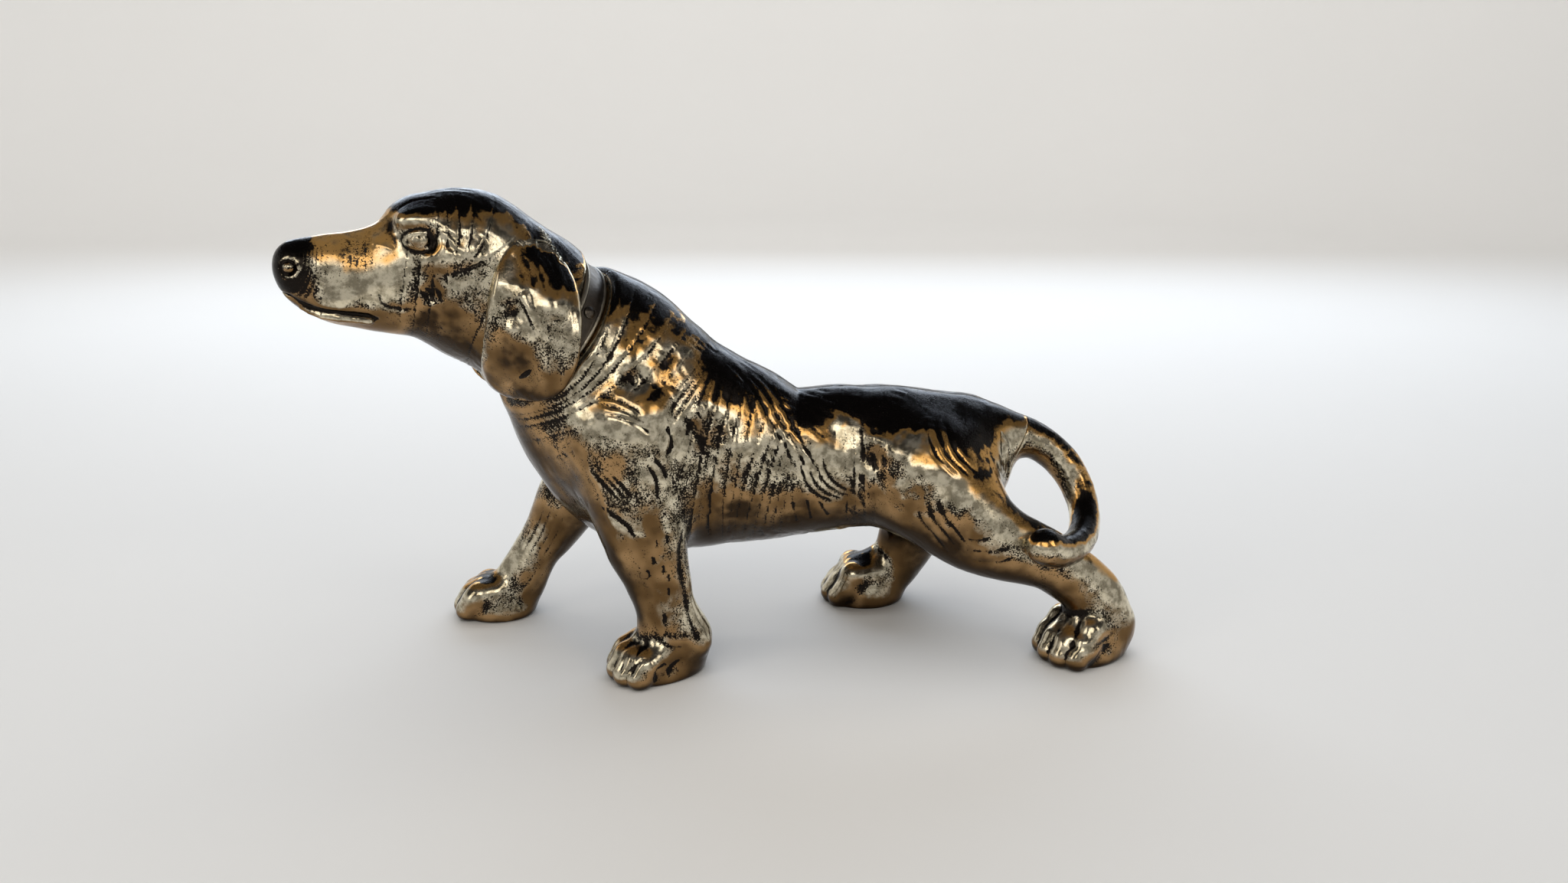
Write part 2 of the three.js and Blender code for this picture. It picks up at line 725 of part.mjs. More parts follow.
// The head and the shoulder, which an ear lies on, with the dent between them filled by a fillet
function castingsUnderEar(x, y, z, fillet) {
  const { along } = alongNeck(x, y, z);
  const shoulder = along < fillet - strapWidth / 2 ? bodyField(x, y, z) : farAway;
  return blend(headField(x, y, z), shoulder, fillet);
}

function underEar(x, y, z) {
  const { along, away } = alongNeck(x, y, z);
  const strap = Math.max(away - collarRadius - rimProud, Math.abs(along) - strapWidth / 2);
  return blend(castingsUnderEar(x, y, z, earFillet), strap, earFillet);
}

// The castings under an ear as a solid, swollen by the clearance
function seatOfEar(at) {
  const reach = earLength + 3 * headCell;
  const aside = (x, y, z) => Math.max(Math.abs(x - at.x), Math.abs(y - at.y), Math.abs(z - at.z));
  const field = (x, y, z) =>
    Math.max(castingsUnderEar(x, y, z, fillets.crease) - earClearance, aside(x, y, z) - reach);
  const outside = reach + 2 * headCell;
  const low = [at.x - outside, at.y - outside, at.z - outside];
  const high = [at.x + outside, at.y + outside, at.z + outside];
  return fieldSolid(field, low, high, headCell);
}

// The room that the collar and its studs take, with the clearance
function collarRoom() {
  const half = strapWidth / 2 + clearance;
  const top = collarRadius + rimProud + earClearance;
  let room = rod(top, -half, half, neckStart, neck.out, neckSides);
  for (const angle of studAngles) {
    const height = collarRadius + studHeight + 2 * clearance;
    const stud = rod(studRadius + clearance, 0, height, neckStart, studDirection(angle), studSides);
    room = room.add(stud);
  }
  return room;
}

// Flap that follows what it lies on, thickest in its middle; side is 1 on the dog's left
function ear(side, neighbours) {
  const lean = radians(earLean);
  const point = (u, w, lateral) => {
    const forward = earAt.forward + u * Math.cos(lean) - w * Math.sin(lean);
    const up = earAt.up + w * Math.cos(lean) + u * Math.sin(lean);
    return headPoint(forward, side * lateral, up);
  };
  // How far out the pieces under the ear reach there, and no less than the flap's own hang
  const seat = (u, w) => {
    let lateral = 2 * earHang;
    const hang = earHang - earCurl * (w / earLength) ** 2;
    const under = (l) => {
      const p = point(u, w, l);
      return underEar(p.x, p.y, p.z);
    };
    while (lateral > hang && under(lateral) > 0) lateral -= probe;
    return lateral;
  };
  const positions = [];
  const put = (u, w, lateral) => {
    const p = point(u, w, lateral);
    positions.push(p.x, p.y, p.z);
  };
  for (const layer of [1, 0]) {
    put(0, 0, seat(0, 0) + (layer ? earThick : -earSink));
    for (let row = 1; row <= earRings; row++)
      for (let sector = 0; sector < earSectors; sector++) {
        const q = row / earRings;
        const angle = (sector / earSectors) * 2 * Math.PI;
        const w = q * earLength * Math.sin(angle);
        const depth = earDepth * (1 - earNarrow * Math.max(0, Math.sin(angle)) ** 2);
        const u = q * depth * Math.cos(angle);
        const thick = earRim + (earThick - earRim) * Math.sqrt(1 - q * q);
        put(u, w, seat(u, w) + (layer ? thick : -earSink));
      }
  }
  const at = (layer, row, sector) => {
    const base = layer * (1 + earRings * earSectors);
    return row ? base + 1 + (row - 1) * earSectors + (sector % earSectors) : base;
  };
  const faces = [];
  const quad = (a, b, c, d) => faces.push(a, b, c, a, c, d);
  for (let sector = 0; sector < earSectors; sector++) {
    faces.push(at(0, 0, 0), at(0, 1, sector), at(0, 1, sector + 1));
    faces.push(at(1, 0, 0), at(1, 1, sector + 1), at(1, 1, sector));
    const next = sector + 1;
    for (let row = 1; row < earRings; row++) {
      quad(at(0, row, sector), at(0, row + 1, sector), at(0, row + 1, next), at(0, row, next));
      quad(at(1, row, sector), at(1, row, next), at(1, row + 1, next), at(1, row + 1, sector));
    }
    const rim = earRings;
    quad(at(0, rim, sector), at(1, rim, sector), at(1, rim, next), at(0, rim, next));
  }
  if (side > 0) faces.reverse();
  const flap = new wasm.Manifold(
    new wasm.Mesh({
      numProp: 3,
      vertProperties: new Float32Array(positions),
      triVerts: new Uint32Array(faces),
    }),
  );
  const middle = headPoint(earAt.forward, side * earHang, earAt.up);
  let solid = flap.subtract(seatOfEar(middle)).subtract(collarRoom());
  const here = headPoint(0, 0, 0);
  const moved = headPoint(0, side * clearance, 0);
  const aside = [moved.x - here.x, moved.y - here.y, 0];
  for (const piece of neighbours) solid = solid.subtract(piece.translate(aside));
  return largest(largest(solid).add(earPeg(side, earPegRadius, earPegLength)));
}

function tail() {
  const { low, high } = boxOf(tailLine, fieldRoom);
  let solid = fieldSolid(tailField, low, high, tailCell);
  solid = solid.subtract(rod(4 * tailRadius, -cutLength, clearance, tailRoot, tailOut));
  solid = solid.add(rod(tailSpigotRadius, -tailSpigotLength, tailRadius / 2, tailRoot, tailOut));
  return largest(solid);
}

function strap() {
  const inner = collarRadius - strapThick;
  const half = strapWidth / 2;
  const profile = [
    [inner, -half],
    [collarRadius + rimProud, -half],
    [collarRadius + rimProud, -half + rimWidth],
    [collarRadius, -half + rimWidth],
    [collarRadius, half - rimWidth],
    [collarRadius + rimProud, half - rimWidth],
    [collarRadius + rimProud, half],
    [inner, half],
    [inner, -half],
  ];
  let solid = turned(profile, neckStart, neck.out, neckSides);
  for (const angle of studAngles) {
    const out = studDirection(angle);
    solid = solid.subtract(rod(studShank + clearance, 0, cutLength, neckStart, out));
  }
  return solid;
}

function studDirection(angle) {
  const a = radians(angle);
  return neck.top.clone().multiplyScalar(Math.cos(a)).addScaledVector(neck.left, Math.sin(a));
}

function stud(angle) {
  const seat = collarRadius + clearance;
  const foot = collarRadius - strapThick + clearance;
  const profile = [[0, foot], [studShank, foot], [studShank, seat], [studRadius, seat]];
  const steps = 3;
  for (let i = 1; i <= steps; i++) {
    const a = (i / steps) * (Math.PI / 2);
    profile.push([i === steps ? 0 : studRadius * Math.cos(a), seat + studHeight * Math.sin(a)]);
  }
  return turned(profile, neckStart, studDirection(angle), studSides);
}

function bodyScrew(screw) {
  const start = new THREE.Vector3(screw.x, 0, screw.z);
  const seat = rightSurface(screw) - screwSink;
  const profile = [
    [0, -screwGrip],
    [screwRadius, -screwGrip],
    [screwRadius, seat - screwHeadDepth],
    [screwHead, seat],
    [0, seat],
  ];
  const solid = turned(profile, start, across, roundSides);
  const slot = block(
    [screw.x - 2 * screwHead, seat - screwSlotDepth, screw.z - screwSlotWidth / 2],
    [screw.x + 2 * screwHead, seat + 1, screw.z + screwSlotWidth / 2],
  );
  return solid.subtract(slot);
}

const group = new THREE.Group();

function addPiece(name, solid, material) {
  const mesh = new THREE.Mesh(geometryOf(solid), material);
  mesh.name = name;
  group.add(mesh);
}

const halves = bodyHalves();
const head = headSolid();
const collar = [strap(), ...studAngles.map(stud)];
addPiece("body_left_half", halves.left, castMetal);
addPiece("body_right_half", halves.right, castMetal);
addPiece("head", head, castMetal);
addPiece("ear_left", ear(1, [halves.left, head]), castMetal);
addPiece("ear_right", ear(-1, [halves.right, head]), castMetal);
addPiece("tail", tail(), castMetal);
collar.forEach((piece, i) => addPiece(i ? `collar_stud_${i}` : "collar_strap", piece, darkMetal));
Object.entries(screwsAt).forEach(([name, at]) => addPiece(`body_screw_${name}`, bodyScrew(at), screwMetal));

// The origin is under the middle of the finished dog, on the floor
const box = new THREE.Box3().setFromObject(group);
group.position.set(-(box.min.x + box.max.x) / 2, -(box.min.y + box.max.y) / 2, -box.min.z);

export default group;
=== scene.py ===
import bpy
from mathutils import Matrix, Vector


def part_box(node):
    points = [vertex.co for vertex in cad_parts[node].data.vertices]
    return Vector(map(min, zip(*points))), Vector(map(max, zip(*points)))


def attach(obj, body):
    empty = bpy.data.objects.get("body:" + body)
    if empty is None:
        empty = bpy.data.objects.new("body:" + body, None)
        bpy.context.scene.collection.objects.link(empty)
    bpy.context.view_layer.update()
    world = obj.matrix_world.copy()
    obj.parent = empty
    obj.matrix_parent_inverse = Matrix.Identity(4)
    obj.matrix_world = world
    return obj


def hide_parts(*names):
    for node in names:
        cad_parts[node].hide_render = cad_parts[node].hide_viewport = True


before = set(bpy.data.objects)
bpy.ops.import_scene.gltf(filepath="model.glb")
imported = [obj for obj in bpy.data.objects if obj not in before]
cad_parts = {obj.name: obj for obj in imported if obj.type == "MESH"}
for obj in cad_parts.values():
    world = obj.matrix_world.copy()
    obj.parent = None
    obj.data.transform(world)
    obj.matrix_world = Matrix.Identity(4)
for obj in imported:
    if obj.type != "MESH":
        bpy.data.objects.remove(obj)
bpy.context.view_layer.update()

from concurrent.futures import ThreadPoolExecutor
from functools import reduce
from math import cos, pi, radians, sin

import bmesh
import bpy
import numpy as np
from mathutils import Vector
from mathutils.kdtree import KDTree

# Sizes are in millimetres in the dog's own frame: x from nose to tail, y from its left to its right, z up.
# Torso sections from the neck to the rump: x, z, height, width
TORSO = [(-80, 119, 54, 52), (-67, 107, 70, 54), (-48, 82, 82, 58), (-22, 75, 69, 52),
         (-2, 70, 57, 46), (20, 71, 54, 44), (42, 71.5, 52, 45), (62, 69, 50, 44)]
# Legs from top to pastern: x, y, z, radius; each is narrower across the dog than along it
LEG_FLAT = 0.78
LEGS = {
    "fore_left": [(-57, -20, 88, 21), (-54, -23, 70, 18), (-51, -27, 53, 14.5), (-47.5, -28, 39, 11.6),
                  (-44.5, -28.5, 26, 10.4), (-41, -27.5, 12.5, 12.8)],
    "fore_right": [(-60, 20, 88, 21), (-68, 23, 68, 17), (-80, 26, 51, 12.8), (-89, 28, 36, 10.2),
                   (-97.4, 29, 24, 8.8), (-104, 29, 12, 9.5)],
    "hind_left": [(51, -16, 67, 22), (61, -21, 58, 18.5), (70, -25, 50, 15.5), (80, -27, 44.5, 12.8),
                  (97, -28, 37.5, 10.4), (112.7, -28, 25.5, 10.2), (118.5, -28, 12, 11.5)],
    "hind_right": [(54, 16, 66, 22), (58, 22, 48, 17), (57, 27, 33, 13), (52, 29, 19, 10.7),
                   (44, 29, 10, 10.8)],
}
# Paws: x, y, turn outwards in degrees, length, width, height
PAWS = {
    "fore_left": (-48, -28, 30, 38, 25, 15),
    "fore_right": (-115, 29, -8, 32, 24, 15),
    "hind_left": (111, -28, 28, 37, 26, 18),
    "hind_right": (35, 29, -6, 33, 24, 18),
}
# Radius of a toe
TOE = 4.8
# Tail from its root to its tip: x, y, z, radius; its casting starts at the row of the joint
TAIL = [(62, 0, 79, 11), (78, 0, 80.5, 9), (90, 0, 78.5, 7.7), (100, 0, 74, 6.9), (108, -1.5, 67, 6.5),
        (113, -5, 58.5, 6), (114, -12, 51, 5.7), (111, -21, 46, 5.6), (105, -30, 44.5, 5.6),
        (97.5, -36, 45, 6), (91, -38.5, 48, 6.6)]
TAIL_JOINT = 2
# The joint's cut is made to the right of TAIL_SIDE and leaves TAIL_GAP
TAIL_SIDE = -12
TAIL_GAP = 0.06
# Head: its place and turn, then forward, up, height and width of each section
HEAD_AT = (-95, -3, 148)
HEAD_TURN = radians(22)
SKULL = (12, 2.5, 42, 38)
BROW = (28, 9, 28, 30)
MUZZLE = [(40, -4.2, 33, 25), (54, -3.4, 30, 21), (63.5, -0.8, 23, 17.5), (68, 2.8, 14, 13.5)]
JAW = (13, -10, 42, 38)
THROAT = (-1.5, -15.5, 55.5, 46)
# Ears: middle forward and up, half depth, half length, lean and how far out they hang
EAR_AT = (-0.7, -17)
EAR_DEPTH = 15.2
EAR_LENGTH = 30
EAR_LEAN = radians(10)
EAR_HANG = 20
EAR_REACH = int(EAR_LENGTH) + 6
# Collar: its middle, the rise and turn of its axis, its strap with rims, and its studs
COLLAR_AT = np.array((-85.5, -2, 124.5))
COLLAR_RISE = radians(40)
COLLAR_TURN = radians(32)
COLLAR_RADIUS = 27
STRAP_WIDTH = 9.5
STRAP_THICK = 1.8
RIM = 0.7
STUD_ANGLES = [70, 125, 180, 235, 290]
STUD_RADIUS = 2.2
# Middle screw's x, the left half's inner face from the seam's plane, and half the seam's gap
MIDDLE_SCREW = 8
SEAM_OFFSET = 0.15
SEAM = 0.08
SCREW_ROOM = 0.25

# Sizes of the cells that the meshes are made from
BODY_CELL = 0.74
HEAD_CELL = 0.5
SMALL_CELL = 0.4
STUD_CELL = 0.14

# Boxes that the larger pieces are made in
BODY_BOX = ((-135, -50, -2), (140, 50, 150))
HEAD_BOX = ((-172, -42, 98), (-55, 32, 176))
TAIL_BOX = ((80, -50, 30), (125, 15, 92))

NECK_OUT = np.array((
    -cos(COLLAR_RISE) * cos(COLLAR_TURN),
    -cos(COLLAR_RISE) * sin(COLLAR_TURN),
    sin(COLLAR_RISE),
))
NECK_LEFT = np.array((sin(COLLAR_TURN), -cos(COLLAR_TURN), 0))
NECK_TOP = -np.cross(NECK_LEFT, NECK_OUT)

# The dog's frame in the row's: the middle screw and the seam give the move between them
MM = 1000
low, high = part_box("body_screw_middle")
screw_x = (low.x + high.x) / 2 * MM
seam_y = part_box("body_left_half")[1].y * MM + SEAM_OFFSET
SHIFT = np.array((screw_x - MIDDLE_SCREW, seam_y, 0))

# Screw heads in the far side: x, z, radius and the height of the head's face
SCREWS = []
for screw in ("body_screw_front", "body_screw_middle", "body_screw_rear"):
    low, high = (np.array(v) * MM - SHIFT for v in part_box(screw))
    SCREWS.append(((low[0] + high[0]) / 2, (low[2] + high[2]) / 2, (high[0] - low[0]) / 2, high[1]))

# Camera: focal length and picture in pixels, sensor, turn, tilt, aim and distance from it
FOCUS = 1547
IMAGE = (2048, 1153)
SENSOR = 36
EYE_TURN = radians(5)
EYE_TILT = radians(17)
EYE_AIM = np.array((0, -12, 81.6))
EYE_AWAY = 430
AHEAD = np.array((sin(EYE_TURN) * cos(EYE_TILT), cos(EYE_TURN) * cos(EYE_TILT), -sin(EYE_TILT)))
EYE = EYE_AIM - EYE_AWAY * AHEAD
lens = bpy.data.cameras.new("camera")
lens.sensor_width = SENSOR
lens.lens = SENSOR * FOCUS / IMAGE[0]
lens.clip_start = 0.01
camera = bpy.data.objects.new("camera", lens)
camera.location = (EYE + SHIFT) / MM
camera.rotation_euler = Vector(AHEAD).to_track_quat("-Z", "Y").to_euler()
bpy.context.scene.collection.objects.link(camera)
bpy.context.scene.camera = camera


def unit(v):
    return v / np.maximum(np.linalg.norm(v, axis=1, keepdims=True), 1e-6)


def ramp(value, low, high):
    """Smooth step from 0 at low to 1 at high"""
    t = np.clip((value - low) / (high - low), 0, 1)
    return t * t * (3 - 2 * t)


# Distance fields, below zero inside a form; FAR is far from it and UNCUT is where no cut is made
FAR = 12
UNCUT = -9


def blend(a, b, fillet):
    h = np.maximum(fillet - np.abs(a - b), 0) / fillet
    return np.minimum(a, b) - h * h * (fillet / 4)


def common(a, b, fillet):
    return -blend(-a, -b, fillet)


def spline(rows, steps):
    """Points of a smooth curve through rows of numbers, with some steps for each gap"""
    rows = np.array(rows, float)
    r = np.vstack([2 * rows[0] - rows[1], rows, 2 * rows[-1] - rows[-2]])
    out = []
    for a, b, c, d in zip(r, r[1:], r[2:], r[3:]):
        for k in range(steps):
            t = k / steps
            out.append(b + 0.5 * t * (c - a + t * (2 * a - 5 * b + 4 * c - d + t * (3 * b - a - 3 * c + d))))
    return np.array(out + [rows[-1]])


class Tube:
    """Smooth limb through rows of x, y, z, radius and width over depth: the hull of the balls along it"""

    def __init__(self, rows, keep=None, steps=6):
        self.table = spline(rows, steps)[:keep and keep * steps + 3].astype(np.float32)
        reach = self.table[:, 3].max() + FAR
        self.low = self.table[:, :3].min(0) - reach
        self.high = self.table[:, :3].max(0) + reach
        self.middle = self.table[:, :3].mean(0)
        at = self.table[:, :3] - self.middle
        weight = np.ones_like(at)
        weight[:, 1] = self.table[:, 4] ** -2
        self.terms = np.column_stack([weight, -2 * at * weight, (at * at * weight).sum(1)]).T

    def __call__(self, p):
        if any(v.max() < a or v.min() > b for v, a, b in zip(p, self.low, self.high)):
            return np.full_like(p[0], FAR)
        points = np.stack(p, 1)
        q = points - self.middle
        near = np.column_stack([q * q, q, np.ones_like(q[:, 0])]) @ self.terms
        near = np.sqrt(np.maximum(near, 0)) - self.table[:, 3]
        i = np.clip(near.argmin(1), 1, len(self.table) - 2)
        before, here, after = self.table[i - 1], self.table[i], self.table[i + 1]
        along = (after - before) / 2
        bend = after - 2 * here + before
        weight = np.ones_like(q)
        weight[:, 1] = here[:, 4] ** -2
        least = 0.3 * (along[:, :3] ** 2 * weight).sum(1)
        s = np.zeros((len(q), 1), np.float32)
        for turn in range(3):
            row = here + s * along + s * s / 2 * bend
            away = points - row[:, :3]
            reach = np.sqrt((away * away * weight).sum(1))
            if turn == 2:
                break
            way = along + s * bend
            slope = np.maximum(((way[:, :3] ** 2 - away * bend[:, :3]) * weight).sum(1), least)
            s = s + (((away * way[:, :3] * weight).sum(1) + way[:, 3] * reach) / slope)[:, None]
            s = np.clip(s, -1, 1)
        return reach - row[:, 3]


def minus(p, at):
    return [p[i] - at[i] for i in range(3)]


def dot(a, b):
    return a[0] * b[0] + a[1] * b[1] + a[2] * b[2]


def limb(p, a, b):
    d, q = minus(b, a), minus(p, a)
    t = np.clip(dot(q, d) / dot(d, d), 0, 1)
    away = minus(q, [t * v for v in d])
    return np.sqrt(dot(away, away)) - (a[3] + t * (b[3] - a[3]))


def joined(parts, fillet):
    return reduce(lambda a, b: blend(a, b, fillet), parts)


def chain(p, balls, fillet=0.3):
    return joined([limb(p, a, b) for a, b in zip(balls, balls[1:])], fillet)


def turned(a, b, angle):
    return a * cos(angle) - b * sin(angle), a * sin(angle) + b * cos(angle)


def placed(at, ahead, across, turn):
    c, s = cos(turn), sin(turn)
    return at[0] - c * ahead + s * across, at[1] - s * ahead - c * across


def lump(p, at, halves, turn=0.0):
    u, v = turned(p[0] - at[0], p[1] - at[1], -turn)
    w = p[2] - at[2]
    a, b, c = halves
    near, far = (np.sqrt((u / a ** k) ** 2 + (v / b ** k) ** 2 + (w / c ** k) ** 2) for k in (1, 2))
    return near * (near - 1) / np.maximum(far, 1e-6)


def apart(p, at, reach):
    return any(v.max() < a - reach or v.min() > a + reach for v, a in zip(p, at))


def paw_field(p, paw):
    x, y, turn, length, width, height = paw
    if apart(p, (x, y, 8), length / 2 + FAR + 2):
        return np.full_like(p[0], FAR)
    turn = radians(turn)

    def place(ahead, across, up, r=0):
        return (*placed((x, y), ahead, across, turn), up, r)

    foot = TOE - 1
    d = lump(p, place(-2, 0, foot), (length * 0.43, width * 0.46, height - foot + 1), turn)
    d = blend(d, lump(p, place(-1.5, 0, foot / 2), (length * 0.46, width * 0.48, height * 0.6), turn), 3)
    pitch = (width - 2 * TOE) / 3
    toes = []
    for across in (-1.5, -0.5, 0.5, 1.5):
        reach = length / 2 - TOE - across * across * 1.3
        balls = [
            place(-4, across * pitch * 0.6, height - TOE, TOE),
            place(3, across * pitch * 0.9, height - TOE - 0.3, TOE),
            place(reach - 3.5, across * pitch, foot + 4, TOE),
            place(reach, across * pitch, foot, TOE - 0.2),
        ]
        toes.append(chain(p, balls, 2))
    return blend(d, joined(toes, 0.7), 2)


def along_axis(p, out):
    """Distance along an axis through the collar's middle, and away from it"""
    q = minus(p, COLLAR_AT)
    along = dot(q, out)
    return along, np.sqrt(np.maximum(dot(q, q) - along ** 2, 0))


def along_neck(p):
    return along_axis(p, NECK_OUT)


torso = Tube([(x, 0, z, h / 2 + 0.7, w / h) for x, z, h, w in TORSO])
legs = {name: Tube([(x, y, z, r + 0.6, LEG_FLAT) for x, y, z, r in rows]) for name, rows in LEGS.items()}
tail = Tube([(*row, 1) for row in TAIL])
stub = Tube([(*row, 1) for row in TAIL], keep=TAIL_JOINT + 1)


def body_form(p):
    d = blend(torso(p), stub(p), 9)
    for name, leg in legs.items():
        d = blend(d, blend(leg(p), paw_field(p, PAWS[name]), 4), 9)
    return d


def past_root(x, z):
    root, after = (np.array(row[:3], float) for row in TAIL[TAIL_JOINT:TAIL_JOINT + 2])
    out = (after - root) / np.linalg.norm(after - root)
    return (x - root[0]) * out[0] + (z - root[2]) * out[2]


def body_field(p):
    x, y, z = p
    d = body_form(p)
    along, _ = along_neck(p)
    d = common(d, along + STRAP_WIDTH / 2 + 0.15, 1.6)
    at_joint = (y > TAIL_SIDE) & (x > 84) & (z > 66)
    d = common(d, np.where(at_joint, past_root(x, z), UNCUT), 0.1)
    for sx, sz, radius, top in SCREWS:
        away = np.hypot(x - sx, z - sz) - radius - SCREW_ROOM
        d = common(d, np.where(y > top - 3, -np.maximum(away, -8), UNCUT), 0.5)
    return common(d, -z, 0.8)


def tail_form(p):
    return blend(tail(p), torso(p), 9)


def tail_field(p):
    x, y, z = p
    return common(tail_form(p), np.where(y > TAIL_SIDE, TAIL_GAP - past_root(x, z), UNCUT), 0.1)


def head_point(forward, left, up):
    return (*placed(HEAD_AT, forward, left, HEAD_TURN), HEAD_AT[2] + up)


def head_local(p):
    back, right = turned(p[0] - HEAD_AT[0], p[1] - HEAD_AT[1], -HEAD_TURN)
    return -back, -right, p[2] - HEAD_AT[2]


def section(f, u, h, w):
    return f, 0, u, h / 2 + 0.3, w / h


skull = Tube([section(*JAW), section(*SKULL), section(*BROW)])
cheek = Tube([section(*JAW), section(*MUZZLE[0])])
face = Tube([section(*row) for row in MUZZLE])
throat = Tube([(*head_point(JAW[0], 0, JAW[1]), JAW[2] / 2, THROAT[3] / THROAT[2]),
               (*head_point(THROAT[0], 0, THROAT[1]), THROAT[2] / 2, THROAT[3] / THROAT[2]),
               (*COLLAR_AT, COLLAR_RADIUS - 0.5, 1)])


def head_form(p):
    q = head_local(p)
    d = blend(skull(q), cheek(q), 5)
    d = blend(d, face(q), 5)
    return blend(d, throat(p), 8)


def rays(pixels):
    right = unit(np.cross(AHEAD, (0, 0, 1))[None])[0]
    over = np.cross(right, AHEAD)
    x, y = np.array(pixels, float).T[:, :, None]
    return unit(AHEAD * FOCUS + right * (x - IMAGE[0] / 2) - over * (y - IMAGE[1] / 2))


def picks(form, pixels):
    ways = rays(pixels)
    t = np.full(len(ways), 300.0)
    best, least = t.copy(), np.full(len(ways), 99.0)
    for _ in range(110):
        p = (EYE + t[:, None] * ways).astype(np.float32)
        v = form(tuple(p.T))
        closer = v < least
        best[closer], least[closer] = t[closer], v[closer]
        t += np.where(least < 0.02, 0, np.maximum(v * 0.7, 0.05))
    return EYE + best[:, None] * ways


def head_picks(form, pixels):
    return np.stack(head_local(picks(form, pixels).T), 1)


EYE_SPOT, NOSTRIL = head_picks(head_form, [(550, 315), (377, 350)])
EYE_RADIUS = 4.3
LID_RADIUS = 4.2
# Lids: up or down, how far they open, and thickness
LIDS = ((1, 2.7, 0.85), (-1, 2.5, 0.6))


def head_mass(p):
    """Head with its brows, temples, lips and nose, before the eyes and the mouth"""
    f, l, u = head_local(p)
    q = (f, np.abs(l), u)
    ef, el, eu = EYE_SPOT
    d = head_form(p)
    d = blend(d, lump(q, (ef - 2, el - 4.2, eu + 6.4), (8, 4, 3.2)), 4)
    d = blend(d, lump(q, (20, 13.5, 3.5), (10, 5.2, 4.6)), 5)
    d = blend(d, lump(q, (53, 6.5, -9.5), (12, 4.4, 5.6)), 4)
    return blend(d, lump(q, (68.5, 0, 2.4), (6.6, 7.6, 6.6)), 3)


MOUTH_LINE = [(380, 388), (390, 395), (402, 401), (418, 406), (440, 409), (462, 411), (480, 413), (491, 417)]
MOUTH = head_picks(head_mass, MOUTH_LINE)


def with_eye(d, q):
    ef, el, eu = EYE_SPOT
    ball = (ef, el - 3.4, eu)
    d = common(d, -lump(q, (ef + 0.8, el + 1.6, eu), (5.4, 2.8, 4.2)), 2)
    d = blend(d, lump(q, ball, (EYE_RADIUS,) * 3), 0.3)
    for top, over, thick in LIDS:
        lid = []
        for a in np.linspace(-0.12, 1.12, 11):
            lf, lu = EYE_RADIUS * cos(pi * a), top * over * sin(pi * a)
            out = max(LID_RADIUS ** 2 - lf * lf - lu * lu, 0.3) ** 0.5
            lid.append((ball[0] + lf, ball[1] + out, ball[2] + lu, thick))
        d = blend(d, chain(q, lid), 0.5)
    iris = (ball[0] + 1.6, ball[1] + 3.75, ball[2] + 0.1)
    return common(d, -(np.abs(lump(q, iris, (1.9, 1.9, 1.9))) - 0.12), 0.2)


def with_nostril(d, q):
    nf, nl, nu = NOSTRIL
    d = common(d, -lump(q, (nf + 0.6, nl + 0.6, nu), (2.9, 2.2, 2.6)), 1.0)
    return blend(d, lump(q, (nf - 0.2, nl - 0.9, nu + 0.1), (2.0, 2.1, 1.9)), 0.4)


def with_mouth(d, q):
    start = MOUTH[0]
    line = [(start[0] + 1.5, 0, start[2] + 2.2, 0.6)] + [(a[0], abs(a[1]), a[2], 0.75) for a in MOUTH]
    d = common(d, -chain(q, line), 1.1)
    lip = []
    for i, a in enumerate(MOUTH[1:-1]):
        lip.append((a[0] - 0.6, abs(a[1]) - 1.2, a[2] - 1.9, min(1.2, 0.6 + 0.25 * i)))
    return blend(d, chain(q, lip), 0.8)


def head_shape(p):
    f, l, u = head_local(p)
    q = (f, np.abs(l), u)
    return with_mouth(with_nostril(with_eye(head_mass(p), q), q), q)


def head_field(p):
    along, away = along_neck(p)
    d = head_shape(p)
    d = np.maximum(d, -STRAP_WIDTH / 2 - along)
    channel = np.maximum(along - STRAP_WIDTH / 2, COLLAR_RADIUS - STRAP_THICK + 0.2 - away)
    return np.maximum(d, -channel)


def ear_place(p, side):
    f, l, u = head_local(p)
    return (*turned(f - EAR_AT[0], u - EAR_AT[1], -EAR_LEAN), l * side)


def ear_under(p, side):
    """Distance to what the ear lies on"""
    a, b, l = ear_place(p, side)
    along, away = along_neck(p)
    strap = np.maximum(away - COLLAR_RADIUS - RIM, np.abs(along) - STRAP_WIDTH / 2)
    body = np.where(along < 2, body_form(p), 9)
    return np.minimum(np.minimum(head_form(p), strap), body), a, b, l


def ear_levels(side):
    """How far out the ear's smooth back lies, on a grid over the ear"""
    across = np.arange(-EAR_REACH, EAR_REACH + 1)
    a, b, l = np.meshgrid(across, across, np.arange(4, 44, 0.5), indexing="ij")
    forward, up = turned(a, b, EAR_LEAN)
    p = head_point(forward + EAR_AT[0], l * side, up + EAR_AT[1])
    under = evaluate(lambda p: ear_under(p, side)[0], np.stack([v.ravel() for v in p], 1))
    level = np.where(under.reshape(a.shape) < 0, l, 4).max(2)
    level = np.maximum(level, EAR_HANG - 4 - 8 * np.clip(b[:, :, 0] / EAR_LENGTH, -1, 1) ** 2)
    for _ in range(26):
        for axis in (0, 1):
            level = (np.roll(level, 1, axis) + 2 * level + np.roll(level, -1, axis)) / 4
    return level


